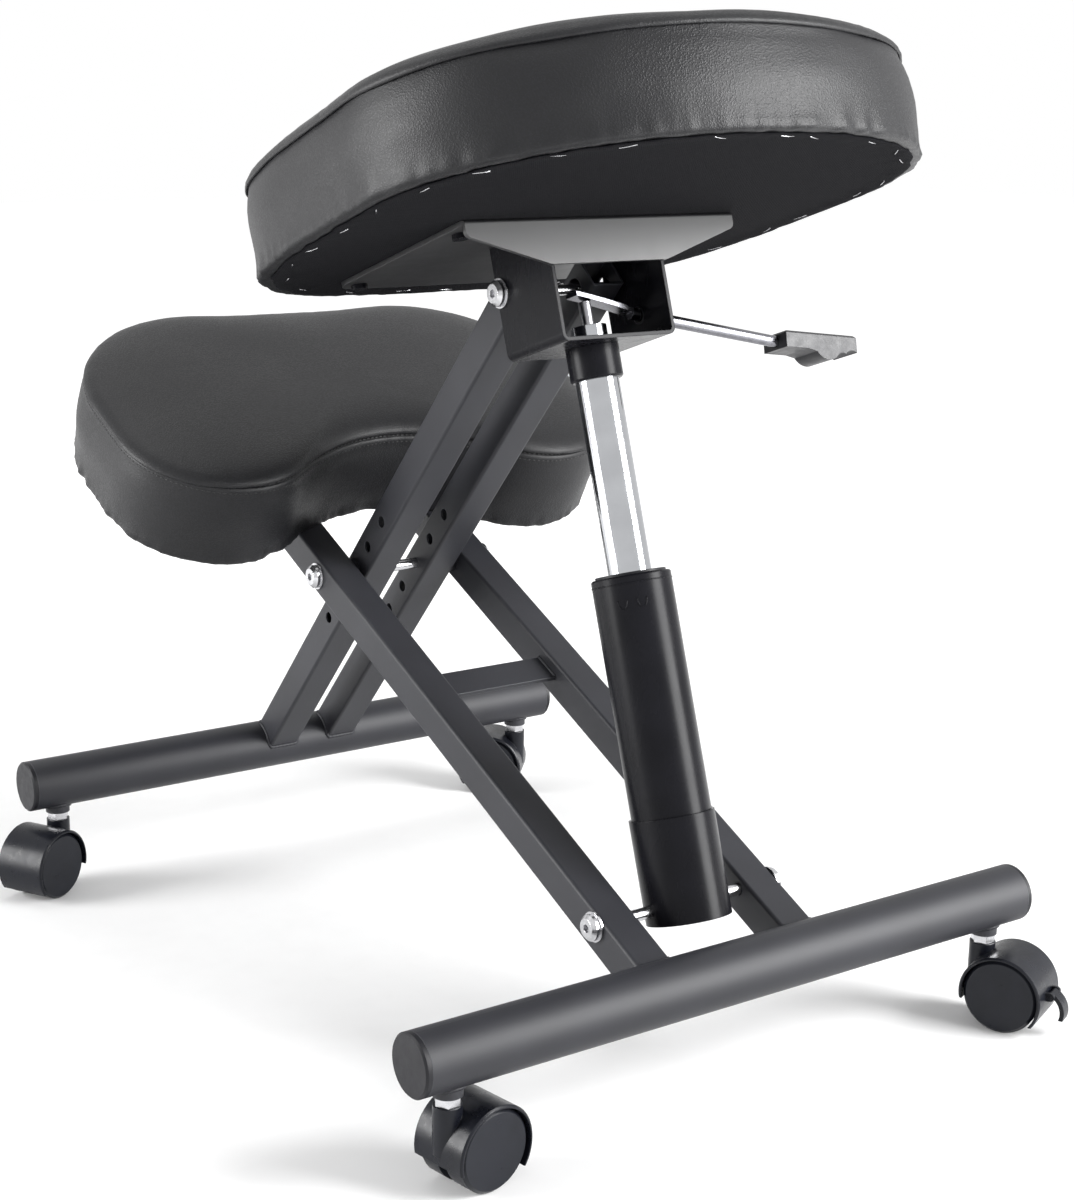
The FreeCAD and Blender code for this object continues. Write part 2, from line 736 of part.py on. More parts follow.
seat_centre = Vector(0, seat_behind_axis, 0)
knee_centre = Vector(0, -knee_rear_reach - knee_depth / 2, 0)
seat_inset = seat_foot_scale - 2 * cushion_rim / seat_depth
knee_inset = knee_foot_scale - 2 * cushion_rim / knee_depth


def board_scale(inset, depth):
    """Scale of a board that leaves a gap all round inside the recess."""
    return inset - 2 * board_side_gap / depth


def knee_screw_places():
    """Where the knee pad's screws stand, as (x, y) in the outer-leg frame."""
    return [(side * outer_leg_centre, -reach) for side in (-1, 1) for reach in knee_screw_reaches]


def board(outline, centre, scale, base, places, frame):
    """Plywood board with a blind hole for each screw."""
    shape = slab_between(outline, centre, scale, base, base + board_thickness)
    holes = [post(screw_radius + gas_fit, base, base + board_thickness - 2.0, x, y) for x, y in places]
    return placed(cut_all(shape, holes), frame)


def bottom_cloth(outline, centre, scale, base, places, frame):
    """Thin cloth under the board."""
    shape = slab_between(outline, centre, scale, base - cloth_thickness, base)
    holes = [post(screw_radius + screw_clearance, base - cloth_thickness, base, x, y) for x, y in places]
    return placed(cut_all(shape, holes), frame)


def screws(places, head_base, board_base, frame):
    """Pan-head screws, up from this face into the board."""
    made = []
    top = board_base + board_thickness - 3.0
    for x, y in places:
        head = post(screw_head_radius, head_base - screw_head_height, head_base, x, y)
        made.append(head.fuse(post(screw_radius, head_base, top, x, y)))
    return placed(Part.makeCompound(made), frame)


# Casters

def caster_frame(name):
    """Frame on the floor under a caster's stem, its X running along the trail."""
    x = chair_middle_x + (caster_x if name.endswith("left") else -caster_x)
    y = rear_tube_y if name.startswith("rear") else front_tube_y
    return Placement(Vector(x, y, 0), Rotation(upright, caster_angles[name]))


def hub_rod(radius, y_start, y_end):
    """Cylinder round a caster's axle line."""
    return rod(radius, Vector(caster_trail, y_start, wheel_radius), Vector(caster_trail, y_end, wheel_radius))


def caster_hood(name):
    """Plastic hood: a web between the wheels, a shell over both and the stem's boss."""
    pocket_radius = wheel_radius + wheel_tread_gap
    web = hood_web / 2
    shell = hub_rod(hood_radius, -hood_half_width, hood_half_width)
    outer_rims = [e for e in shell.Edges if e.BoundBox.YLength < 0.1]
    shell = shell.makeChamfer(1.0, outer_rims)
    boss = post(hood_boss_radius, wheel_radius, hood_top - lever_gap)
    hood = shell.fuse(boss)
    reach = 3 * wheel_radius
    below = block(-reach, reach, -reach, reach, -reach, -hood_mouth_drop)
    below.Placement = Placement(Vector(caster_trail, 0, wheel_radius), Rotation(Vector(0, 1, 0), hood_mouth_fall))
    hood = hood.cut(below).fuse(hub_rod(axle_radius * 2.3, -web, web))
    tools = [hub_rod(pocket_radius, side * web, side * (hood_half_width + 1)) for side in (-1, 1)]
    tools.append(post(stem_radius + axle_fit, hood_top - stem_depth - 0.5, hood_top))
    tools.append(hub_rod(axle_radius + 0.02, -web, web))
    hood = cut_all(hood, tools)
    if name == "rear_right":
        hood = with_brake_lugs(hood)
    return placed(hood, caster_frame(name))


def caster_axle(name):
    """Steel axle through the hood's web into both wheels."""
    end = hood_web / 2 + wheel_side_gap + wheel_width - axle_end_cover
    return placed(hub_rod(axle_radius, -end, end), caster_frame(name))


def caster_wheel(name, side):
    """One wheel: chamfered tread, closed outer face and a blind bore for the axle."""
    inner = hood_web / 2 + wheel_side_gap
    outer = inner + wheel_width
    bore = axle_radius + axle_fit
    bore_end = outer - axle_end_cover + wheel_side_gap
    axis = Vector(0, 1, 0)
    corners = [(bore, inner), (wheel_radius, inner), (wheel_radius, outer - wheel_shoulder),
               (wheel_radius - wheel_shoulder, outer), (0, outer), (0, bore_end), (bore, bore_end)]
    profile = [Vector(radius, y, 0) for radius, y in corners]
    wheel = Part.Face(Part.makePolygon(profile + profile[:1])).revolve(Vector(0, 0, 0), axis, 360)
    if side < 0:
        wheel = wheel.mirror(Vector(0, 0, 0), axis)
    wheel.translate(Vector(caster_trail, 0, wheel_radius))
    return placed(wheel, caster_frame(name))


def brake_pin_place():
    """Centre of the brake's trunnions, behind the wheels."""
    turn = math.radians(brake_pin_angle)
    return (caster_trail + brake_pin_distance * math.cos(turn),
            wheel_radius + brake_pin_distance * math.sin(turn))


def with_brake_lugs(hood):
    """The hood with two lugs behind its shell for the brake's trunnions."""
    x, z = brake_pin_place()
    for side in (-1, 1):
        low, high = sorted((side * (brake_width / 2 + lever_gap), side * (brake_width / 2 + lever_gap + brake_lug)))
        lug = rod(brake_lug_radius, Vector(x, low, z), Vector(x, high, z))
        arm = block(-2 * brake_lug_radius, 0, low, high, -brake_lug_radius, brake_lug_radius)
        arm.Placement = Placement(Vector(x, 0, z), Rotation(Vector(0, 1, 0), -brake_pin_angle))
        lug = lug.fuse(arm).cut(hub_rod(wheel_radius + wheel_tread_gap, low - 1, high + 1))
        hood = hood.fuse(lug).cut(rod(brake_pin_radius + axle_fit, Vector(x, low - 1, z), Vector(x, high + 1, z)))
    return hood


def brake_lever(name):
    """Foot lever on trunnions: a hook that curves out and down behind the hood."""
    x, z = brake_pin_place()
    half = brake_width / 2
    body = rod(brake_body_radius, Vector(x, -half, z), Vector(x, half, z))

    def curve(inset):
        """Arc of the hook, this far inside its outer face."""
        reach = brake_hook_reach - inset
        start = Vector(x, -half, z + brake_body_radius - inset)
        return Part.Arc(start, Vector(x + 0.82 * reach, -half, z - 3.4 - 0.5 * inset),
                        Vector(x + reach, -half, z - brake_hook_drop)).toShape()

    outer = curve(0)
    inner = curve(brake_hook_thickness)
    ends = [Part.makeLine(outer.firstVertex().Point, inner.firstVertex().Point),
            Part.makeLine(outer.lastVertex().Point, inner.lastVertex().Point)]
    outline = Part.Wire(Part.__sortEdges__([outer, inner] + ends))
    hook = Part.Face(outline).extrude(Vector(0, brake_width, 0))
    trunnion_end = half + lever_gap + brake_lug
    trunnions = rod(brake_pin_radius, Vector(x, -trunnion_end, z), Vector(x, trunnion_end, z))
    return placed(body.fuse([hook, trunnions]), caster_frame(name))


# The whole chair, node by node

def all_nodes():
    """Every sub-part under its node name."""
    seat_plan = seat_outline()
    knee_plan = knee_outline()
    seat_board_scale = board_scale(seat_inset, seat_depth)
    knee_board_scale = board_scale(knee_inset, knee_depth)
    bracket_half = bracket_width / 2
    nodes = {
        "rear_base_tube": placed(base_tube(), rear_frame),
        "rear_end_caps": placed(mirrored_pair(end_cap), rear_frame),
        "rear_caster_nuts": placed(mirrored_pair(caster_nut), rear_frame),
        "rear_caster_stems": placed(mirrored_pair(caster_stem), rear_frame),
        "outer_leg_left": outer_leg(1),
        "outer_leg_right": outer_leg(-1),
        "leg_cross_bar": leg_cross_bar(),
        "cross_pivot_bolt": cross_bolt(cross_pivot, outer_leg_outer_face),
        "cross_pivot_nut": cross_nut(cross_pivot, outer_leg_outer_face),
        "cross_pivot_washers": pivot_washers(),
        "cylinder_pin_bolt": cross_bolt(cylinder_pin, outer_leg_outer_face),
        "cylinder_pin_nut": cross_nut(cylinder_pin, outer_leg_outer_face),
        "outer_leg_plugs": mirrored_pair(leg_plug),
        "knee_board": board(knee_plan, knee_centre, knee_board_scale, knee_base, knee_screw_places(),
                            outer_frame),
        "knee_cushion": placed(cushion(knee_plan, knee_centre, knee_base, knee_band, knee_crown,
                                       knee_foot_scale, knee_inset), outer_frame),
        "knee_bottom_cloth": bottom_cloth(knee_plan, knee_centre, knee_board_scale, knee_base,
                                          knee_screw_places(), outer_frame),
        "knee_screws": screws(knee_screw_places(), outer_leg_top - leg_size, knee_base, outer_frame),
        "front_base_tube": placed(base_tube(), front_frame),
        "front_end_caps": placed(mirrored_pair(end_cap), front_frame),
        "front_caster_nuts": placed(mirrored_pair(caster_nut), front_frame),
        "front_caster_stems": placed(mirrored_pair(caster_stem), front_frame),
        "inner_leg_left": inner_leg(1),
        "inner_leg_right": inner_leg(-1),
        "cylinder_sleeve": cylinder_sleeve(),
        "gas_column": column(),
        "guide_bush": guide_bush(),
        "piston_rod": piston_rod(),
        "thrust_washers": thrust_washers(),
        "pressure_tube": pressure_tube(),
        "taper_collar": taper_collar(),
        "valve_pin": valve_pin(),
        "seat_bracket": seat_bracket(),
        "seat_plate": seat_plate(),
        "seat_pivot_bolt": cross_bolt(seat_pivot, bracket_half),
        "seat_pivot_nut": cross_nut(seat_pivot, bracket_half),
        "seat_board": board(seat_plan, seat_centre, seat_board_scale, seat_base, seat_screw_places(),
                            gas_frame),
        "seat_cushion": placed(cushion(seat_plan, seat_centre, seat_base, seat_band, seat_crown,
                                       seat_foot_scale, seat_inset), gas_frame),
        "seat_bottom_cloth": bottom_cloth(seat_plan, seat_centre, seat_board_scale, seat_base,
                                          seat_screw_places(), gas_frame),
        "seat_screws": screws(seat_screw_places(), plate_height, seat_base, gas_frame),
        "lever_bush": lever_bush(),
        "lever_rod": lever_rod(),
        "lever_handle": lever_handle(),
        "rear_right_brake_lever": brake_lever("rear_right"),
    }
    for name in caster_angles:
        nodes[name + "_hood"] = caster_hood(name)
        nodes[name + "_axle"] = caster_axle(name)
        nodes[name + "_wheel_a"] = caster_wheel(name, 1)
        nodes[name + "_wheel_b"] = caster_wheel(name, -1)
    return nodes


def main():
    """Write one STEP file for each node."""
    os.makedirs("parts", exist_ok=True)
    for name, shape in all_nodes().items():
        shape.exportStep("parts/" + name + ".step")


if __name__ == "__main__":
    main()
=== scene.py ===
"""Kneeling chair dressed for its portrait: upholstery, welds, stitching, finishes and studio."""

import json
import logging
import math
import random
from abc import ABC, abstractmethod
from dataclasses import dataclass, field
from enum import Enum
from typing import Callable, Iterable, Sequence

import bmesh
import bpy
import numpy as np
from mathutils import Euler, Matrix, Vector, noise
from mathutils.bvhtree import BVHTree


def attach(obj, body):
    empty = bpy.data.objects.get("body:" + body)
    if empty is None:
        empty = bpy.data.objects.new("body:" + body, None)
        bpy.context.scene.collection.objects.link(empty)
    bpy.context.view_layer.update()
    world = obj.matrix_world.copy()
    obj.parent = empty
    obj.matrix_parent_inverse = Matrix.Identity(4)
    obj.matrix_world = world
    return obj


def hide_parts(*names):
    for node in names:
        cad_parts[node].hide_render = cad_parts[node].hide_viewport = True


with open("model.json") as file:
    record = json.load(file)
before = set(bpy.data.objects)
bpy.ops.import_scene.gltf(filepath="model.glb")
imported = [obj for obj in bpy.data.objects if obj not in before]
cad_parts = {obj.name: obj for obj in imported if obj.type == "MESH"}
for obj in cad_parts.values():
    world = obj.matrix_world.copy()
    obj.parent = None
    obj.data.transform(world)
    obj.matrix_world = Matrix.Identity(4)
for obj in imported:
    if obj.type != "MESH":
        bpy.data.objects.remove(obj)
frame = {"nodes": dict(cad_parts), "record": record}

LOG = logging.getLogger("kneeling_chair")
MM = 0.001
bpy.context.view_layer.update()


# Node graphs


class Graph:
    """A material's node tree, built from the shader back to its patterns."""

    def __init__(self, name: str) -> None:
        """Start an empty material.

        Args:
            name: the material's name.
        """
        self.material = bpy.data.materials.new(name)
        self.material.use_nodes = True
        self.tree = self.material.node_tree
        self.tree.nodes.clear()
        self.shader = self.tree.nodes.new("ShaderNodeBsdfPrincipled")
        output = self.tree.nodes.new("ShaderNodeOutputMaterial")
        self.tree.links.new(self.shader.outputs["BSDF"], output.inputs["Surface"])
        self.place = self.tree.nodes.new("ShaderNodeTexCoord").outputs["Object"]

    def node(self, kind: str, **settings: object) -> bpy.types.Node:
        """Add a node and set its properties.

        Args:
            kind: the node type after "ShaderNode".
            settings: properties of the node.

        Returns:
            The new node.
        """
        made = self.tree.nodes.new("ShaderNode" + kind)
        for key, value in settings.items():
            setattr(made, key, value)
        return made

    def link(self, source: bpy.types.NodeSocket, node: bpy.types.Node, socket: str | int) -> None:
        """Join an output to a node's input."""
        self.tree.links.new(source, node.inputs[socket])

    def scaled(self, x: float, y: float, z: float, turn: Sequence[float] = (0, 0, 0)) -> bpy.types.NodeSocket:
        """Object coordinates, turned and stretched.

        Args:
            x: scale along X.
            y: scale along Y.
            z: scale along Z.
            turn: Euler angles in radians, applied before the scale.

        Returns:
            The vector output.
        """
        turned = self.node("Mapping", vector_type="POINT")
        turned.inputs["Rotation"].default_value = turn
        self.link(self.place, turned, "Vector")
        stretched = self.node("Mapping", vector_type="POINT")
        stretched.inputs["Scale"].default_value = (x, y, z)
        self.link(turned.outputs["Vector"], stretched, "Vector")
        return stretched.outputs["Vector"]

    def noise(self, where: bpy.types.NodeSocket, scale: float, detail: float = 3.0,
              roughness: float = 0.5) -> bpy.types.NodeSocket:
        """Fractal noise.

        Args:
            where: the coordinates.
            scale: cells per metre.
            detail: octaves.
            roughness: how strong the fine octaves are.

        Returns:
            The noise value's output.
        """
        made = self.node("TexNoise")
        made.inputs["Scale"].default_value = scale
        made.inputs["Detail"].default_value = detail
        made.inputs["Roughness"].default_value = roughness
        self.link(where, made, "Vector")
        return made.outputs["Fac"]

    def cells(self, where: bpy.types.NodeSocket, scale: float, feature: str = "F1",
              smoothness: float = 0.0) -> bpy.types.NodeSocket:
        """Cell pattern.

        Args:
            where: the coordinates.
            scale: cells per metre.
            feature: which distance is measured.
            smoothness: rounding of SMOOTH_F1.

        Returns:
            The distance output.
        """
        made = self.node("TexVoronoi", feature=feature)
        made.inputs["Scale"].default_value = scale
        if feature == "SMOOTH_F1":
            made.inputs["Smoothness"].default_value = smoothness
        self.link(where, made, "Vector")
        return made.outputs["Distance"]

    def ramp(self, value: bpy.types.NodeSocket, stops: Sequence[tuple[float, Sequence[float]]]) -> bpy.types.NodeSocket:
        """Colour ramp over a value.

        Args:
            value: the driving output.
            stops: (position, colour) pairs.

        Returns:
            The colour output.
        """
        made = self.node("ValToRGB")
        elements = made.color_ramp.elements
        while len(elements) < len(stops):
            elements.new(0.5)
        for element, (position, colour) in zip(elements, stops):
            element.position = position
            element.color = (*colour, 1.0)
        self.link(value, made, "Fac")
        return made.outputs["Color"]

    def spread(self, value: bpy.types.NodeSocket, low: float, high: float,
               start: float = 0.0, end: float = 1.0) -> bpy.types.NodeSocket:
        """A value mapped onto another range.

        Args:
            value: the driving output.
            low: result at the start.
            high: result at the end.
            start: value that gives low.
            end: value that gives high.

        Returns:
            The mapped output.
        """
        made = self.node("MapRange")
        made.inputs["From Min"].default_value = start
        made.inputs["From Max"].default_value = end
        made.inputs["To Min"].default_value = low
        made.inputs["To Max"].default_value = high
        self.link(value, made, "Value")
        return made.outputs["Result"]

    def math(self, operation: str, a: bpy.types.NodeSocket, b: bpy.types.NodeSocket | float) -> bpy.types.NodeSocket:
        """Arithmetic on one or two patterns.

        Args:
            operation: the math node's operation.
            a: first pattern.
            b: second pattern or a number.

        Returns:
            The result's output.
        """
        made = self.node("Math", operation=operation)
        self.link(a, made, 0)
        if isinstance(b, (int, float)):
            made.inputs[1].default_value = b
        else:
            self.link(b, made, 1)
        return made.outputs[0]

    def bump(self, height: bpy.types.NodeSocket, depth: float, strength: float = 1.0,
             below: bpy.types.NodeSocket | None = None) -> bpy.types.NodeSocket:
        """Surface relief.

        Args:
            height: pattern from 0 to 1.
            depth: depth of the relief in metres.
            strength: share of the relief.
            below: normal under this relief.

        Returns:
            The normal output.
        """
        made = self.node("Bump")
        made.inputs["Distance"].default_value = depth
        made.inputs["Strength"].default_value = strength
        self.link(height, made, "Height")
        if below is not None:
            self.link(below, made, "Normal")
        return made.outputs["Normal"]

    def rounded(self, radius: float) -> bpy.types.NodeSocket:
        """Normals that round off sharp edges.

        Args:
            radius: edge radius in metres.

        Returns:
            The normal output.
        """
        made = self.node("Bevel", samples=4)
        made.inputs["Radius"].default_value = radius
        return made.outputs["Normal"]

    def edge_mask(self, radius: float) -> bpy.types.NodeSocket:
        """How near a point lies to a sharp edge.

        Args:
            radius: reach of the mask in metres.

        Returns:
            An output that is 0 on flat metal and rises at edges.
        """
        geometry = self.node("NewGeometry")
        product = self.node("VectorMath", operation="DOT_PRODUCT")
        self.link(self.rounded(radius), product, 0)
        self.link(geometry.outputs["Normal"], product, 1)
        return self.spread(product.outputs["Value"], 1.0, 0.0, 0.75, 0.99)

    def set(self, **values: object) -> None:
        """Set constants on the shader's own sockets, by socket name with spaces as underscores."""
        for key, value in values.items():
            socket = self.shader.inputs[key.replace("_", " ")]
            socket.default_value = (*value, 1.0) if isinstance(value, tuple) else value


Colour = tuple[float, float, float]


def shaded(colour: Colour, share: float) -> Colour:
    """A colour made lighter or darker."""
    return tuple(share * part for part in colour)


class Finish(ABC):
    """A surface finish."""

    name: str

    @abstractmethod
    def paint(self, g: Graph) -> None:
        """Set up the finish's nodes in its material's graph."""

    def build(self) -> bpy.types.Material:
        """Make the finish's material.

        Returns:
            The material.
        """
        g = Graph(self.name)
        self.paint(g)
        return g.material


@dataclass(frozen=True)
class PowderCoat(Finish):
    """Matte charcoal powder coat with a fine texture and lighter edges: painted highlight along the edges, partly
    standing for wear.
    """

    name: str = "charcoal_powder_coat"
    colour: Colour = (0.018, 0.0185, 0.023)
    # Colour at sharp edges: painted highlight, partly wear.
    edge: Colour = (0.10, 0.105, 0.115)
    grain: float = 2600.0
    depth: float = 0.00012

    def paint(self, g: Graph) -> None:
        """Set up the finish's nodes.

        Args:
            g: the material's graph.
        """
        tone = g.noise(g.place, 18.0, 4.0)
        base = g.ramp(tone, [(0.3, shaded(self.colour, 0.86)), (0.7, shaded(self.colour, 1.16))])
        # Lighter colour towards sharp edges: painted edge highlight, partly wear.
        mix = g.node("Mix", data_type="RGBA")
        g.link(g.edge_mask(0.0009), mix, 0)
        g.link(base, mix, 6)
        mix.inputs[7].default_value = (*self.edge, 1.0)
        g.link(mix.outputs[2], g.shader, "Base Color")
        orange_peel = g.noise(g.place, self.grain, 2.0, 0.6)
        g.link(g.spread(orange_peel, 0.42, 0.6), g.shader, "Roughness")
        g.link(g.bump(orange_peel, self.depth, 0.55, g.rounded(0.0007)), g.shader, "Normal")
        g.set(Specular_IOR_Level=0.4)


@dataclass(frozen=True)
class SatinEnamel(Finish):
    """Smooth black enamel on steel sheet and tubes."""

    name: str = "satin_black_enamel"
    colour: Colour = (0.0045, 0.0045, 0.006)
    roughness: float = 0.26
    clear: float = 0.0
    shine: float = 0.12

    def paint(self, g: Graph) -> None:
        """Set up the finish's nodes.

        Args:
            g: the material's graph.
        """
        tone = g.noise(g.place, 30.0, 3.0)
        g.link(g.ramp(tone, [(0.35, self.colour), (0.75, shaded(self.colour, 1.6))]), g.shader, "Base Color")
        smear = g.noise(g.scaled(40.0, 40.0, 9.0), 2.0, 5.0, 0.6)
        g.link(g.spread(smear, self.roughness - 0.02, self.roughness + 0.04, 0.3, 0.7), g.shader, "Roughness")
        pores = g.noise(g.place, 1500.0, 2.0)
        g.link(g.bump(pores, 0.00002, 0.12, g.rounded(0.0008)), g.shader, "Normal")
        g.set(Coat_Weight=self.clear, Coat_Roughness=0.12, Specular_IOR_Level=self.shine)


@dataclass(frozen=True)
class Chrome(Finish):
    """Polished plating with faint rub marks along the tube."""

    name: str = "polished_chrome"
    colour: Colour = (0.5, 0.51, 0.53)
    roughness: float = 0.08

    def paint(self, g: Graph) -> None:
        """Set up the finish's nodes.

        Args:
            g: the material's graph.
        """
        rub = g.noise(g.scaled(700.0, 700.0, 14.0, (0.32, 0, 0)), 1.0, 4.0, 0.6)
        haze = g.noise(g.place, 45.0, 3.0)
        tint = g.ramp(haze, [(0.35, shaded(self.colour, 0.9)), (0.7, self.colour)])
        g.link(tint, g.shader, "Base Color")
        g.link(g.spread(g.math("MULTIPLY", rub, haze), self.roughness - 0.02, self.roughness + 0.1, 0.15, 0.5),
               g.shader, "Roughness")
        g.link(g.bump(rub, 0.00002, 0.3, g.rounded(0.0005)), g.shader, "Normal")
        g.set(Metallic=1.0)


@dataclass(frozen=True)
class PlatedSteel(Finish):
    """Zinc or bare steel on bolts, nuts, stems and axles."""

    name: str = "bright_zinc"
    colour: Colour = (0.66, 0.66, 0.68)
    roughness: float = 0.2

    def paint(self, g: Graph) -> None:
        """Set up the finish's nodes.

        Args:
            g: the material's graph.
        """
        blotch = g.noise(g.place, 260.0, 4.0, 0.6)
        g.link(g.ramp(blotch, [(0.3, shaded(self.colour, 0.72)), (0.75, self.colour)]), g.shader, "Base Color")
        g.link(g.spread(blotch, self.roughness - 0.07, self.roughness + 0.14), g.shader, "Roughness")
        scratch = g.noise(g.scaled(60.0, 900.0, 900.0), 2.0, 3.0)
        g.link(g.bump(scratch, 0.00004, 0.35, g.rounded(0.0004)), g.shader, "Normal")
        g.set(Metallic=1.0)


@dataclass(frozen=True)
class MouldedPlastic(Finish):
    """Moulded plastic with a fine spark-eroded grain."""

    name: str
    colour: Colour
    roughness: float
    grain: float = 1800.0
    depth: float = 0.00006
    shine: float = 0.25

    def paint(self, g: Graph) -> None:
        """Set up the finish's nodes.

        Args:
            g: the material's graph.
        """
        tone = g.noise(g.place, 60.0, 3.0)
        low = shaded(self.colour, 0.85)
        high = shaded(self.colour, 1.2)
        g.link(g.ramp(tone, [(0.3, low), (0.7, high)]), g.shader, "Base Color")
        grain = g.cells(g.place, self.grain)
        scuff = g.noise(g.place, 130.0, 5.0, 0.65)
        g.link(g.spread(scuff, self.roughness - 0.07, self.roughness + 0.1, 0.3, 0.7), g.shader, "Roughness")
        g.link(g.bump(grain, self.depth, 0.5, g.rounded(0.0006)), g.shader, "Normal")
        g.set(Specular_IOR_Level=self.shine)


@dataclass(frozen=True)
class PebbleLeather(Finish):
    """Black coated leather: round pebbles, creases and a soft shine."""

    name: str = "pebble_leather"
    colour: Colour = (0.0045, 0.0046, 0.006)
    pebbles: float = 820.0
    depth: float = 0.00022
    roughness: float = 0.4

    def paint(self, g: Graph) -> None:
        """Set up the finish's nodes.

        Args:
            g: the material's graph.
        """
        warp = g.node("TexNoise")
        warp.inputs["Scale"].default_value = 160.0
        g.link(g.place, warp, "Vector")
        shift = g.node("VectorMath", operation="SCALE")
        shift.inputs["Scale"].default_value = 0.0016
        g.link(warp.outputs["Color"], shift, 0)
        place = g.node("VectorMath", operation="ADD")
        g.link(g.place, place, 0)
        g.link(shift.outputs["Vector"], place, 1)
        pebble = g.cells(place.outputs["Vector"], self.pebbles, "SMOOTH_F1", 0.35)
        fine = g.cells(place.outputs["Vector"], self.pebbles * 2.3)
        mixed = g.math("ADD", g.math("MULTIPLY", pebble, 0.75), g.math("MULTIPLY", fine, 0.25))
        dome = g.spread(mixed, 1.0, 0.0, 0.05, 0.62)
        patch = g.noise(g.place, 14.0, 3.0)
        pressed = g.spread(patch, 0.45, 1.0, 0.35, 0.65)
        relief = g.math("MULTIPLY", dome, pressed)
        # Colour follows the pebble relief: painted shade in the gaps between pebbles, painted highlight on their
        # crowns.
        low = shaded(self.colour, 0.7)
        high = shaded(self.colour, 1.25)
        g.link(g.ramp(dome, [(0.0, low), (0.6, high)]), g.shader, "Base Color")
        g.link(g.spread(g.math("ADD", dome, patch), self.roughness + 0.1, self.roughness - 0.07, 0.5, 1.5),
               g.shader, "Roughness")
        crease = g.noise(g.place, 90.0, 5.0, 0.6)
        soft = g.bump(crease, 0.0005, 0.1)
        g.link(g.bump(relief, self.depth, 0.8, soft), g.shader, "Normal")
        g.set(Specular_IOR_Level=0.36, Sheen_Weight=0.01, Sheen_Roughness=0.4)


@dataclass(frozen=True)
class DustCloth(Finish):
    """Thin black woven cloth under the seats."""

    name: str = "black_dust_cloth"
    colour: Colour = (0.005, 0.005, 0.006)
    pitch: float = 0.0011

    def paint(self, g: Graph) -> None:
        """Set up the finish's nodes.

        Args:
            g: the material's graph.
        """
        turns = math.tau / self.pitch / 20
        threads = []
        for turn in (0.62, -0.62):
            wave = g.node("TexWave", wave_type="BANDS", bands_direction="X")
            wave.inputs["Scale"].default_value = turns
            wave.inputs["Distortion"].default_value = 0.6
            g.link(g.scaled(1.0, 1.0, 1.0, (0, 0, turn)), wave, "Vector")
            threads.append(wave.outputs["Fac"])
        weave = g.math("MAXIMUM", *threads)
        lint = g.noise(g.place, 320.0, 5.0, 0.7)
        tone = g.math("MULTIPLY", weave, g.spread(lint, 0.6, 1.0, 0.3, 0.7))
        g.link(g.ramp(tone, [(0.0, shaded(self.colour, 0.5)), (1.0, shaded(self.colour, 2.0))]),
               g.shader, "Base Color")
        g.link(g.bump(weave, 0.0003, 0.6), g.shader, "Normal")
        g.set(Roughness=0.9, Sheen_Weight=0.012, Sheen_Roughness=0.5, Specular_IOR_Level=0.02)


@dataclass(frozen=True)
class SewingThread(Finish):
    """Twisted polyester thread."""

    name: str = "black_thread"
    colour: Colour = (0.008, 0.008, 0.009)

    def paint(self, g: Graph) -> None:
        """Set up the finish's nodes.

        Args:
            g: the material's graph.
        """
        twist = g.node("TexWave", wave_type="BANDS", bands_direction="DIAGONAL")
        twist.inputs["Scale"].default_value = 700.0
        g.link(g.place, twist, "Vector")
        g.link(g.ramp(twist.outputs["Fac"], [(0.0, shaded(self.colour, 0.4)), (1.0, self.colour)]),
               g.shader, "Base Color")
        g.link(g.bump(twist.outputs["Fac"], 0.0001, 0.7), g.shader, "Normal")
        g.set(Roughness=0.5)


@dataclass(frozen=True)
class Plywood(Finish):
    """Raw plywood of the cushions' boards."""

    name: str = "raw_plywood"
    face: Colour = (0.52, 0.37, 0.22)
    glue: Colour = (0.23, 0.13, 0.07)

    def paint(self, g: Graph) -> None:
        """Set up the finish's nodes.

        Args:
            g: the material's graph.
        """
        figure = g.noise(g.scaled(90.0, 6.0, 90.0), 1.0, 6.0, 0.6)
        g.link(g.ramp(figure, [(0.3, self.glue), (0.6, self.face)]), g.shader, "Base Color")
        g.link(g.bump(figure, 0.0003, 0.4), g.shader, "Normal")
        g.set(Roughness=0.7)


class Dress(Enum):
    """The chair's finishes."""

    POWDER = PowderCoat()
    ENAMEL = SatinEnamel()
    SHEET = SatinEnamel("black_sheet_enamel", (0.006, 0.006, 0.007), 0.42, 0.0, 0.9)
    CHROME = Chrome()
    ZINC = PlatedSteel()
    STEEL = PlatedSteel("ground_steel", (0.5, 0.5, 0.52), 0.3)
    DARK_STEEL = PlatedSteel("dark_lever_steel", (0.22, 0.22, 0.24), 0.2)
    PLASTIC = MouldedPlastic("black_cap_plastic", (0.01, 0.01, 0.0125), 0.42)
    CASTER = MouldedPlastic("caster_nylon", (0.006, 0.0068, 0.0105), 0.3, 2600.0, 0.00003)
    TREAD = MouldedPlastic("wheel_nylon", (0.008, 0.009, 0.013), 0.34, 2600.0, 0.00003)
    GRIP = MouldedPlastic("lever_grip", (0.014, 0.014, 0.017), 0.4, 1400.0, 0.00008, 0.5)
    LEATHER = PebbleLeather()
    CLOTH = DustCloth()
    THREAD = SewingThread()
    WOOD = Plywood()

    def material(self) -> bpy.types.Material:
        """The finish's material, made at its first use.

        Returns:
            The material.
        """
        known = bpy.data.materials.get(self.value.name)
        return known if known else self.value.build()


def wear(piece: bpy.types.Object, dress: Dress) -> None:
    """Give a piece one finish.

    Args:
        piece: the mesh object.
        dress: its finish.
    """
    piece.data.materials.clear()
    piece.data.materials.append(dress.material())


# Meshes


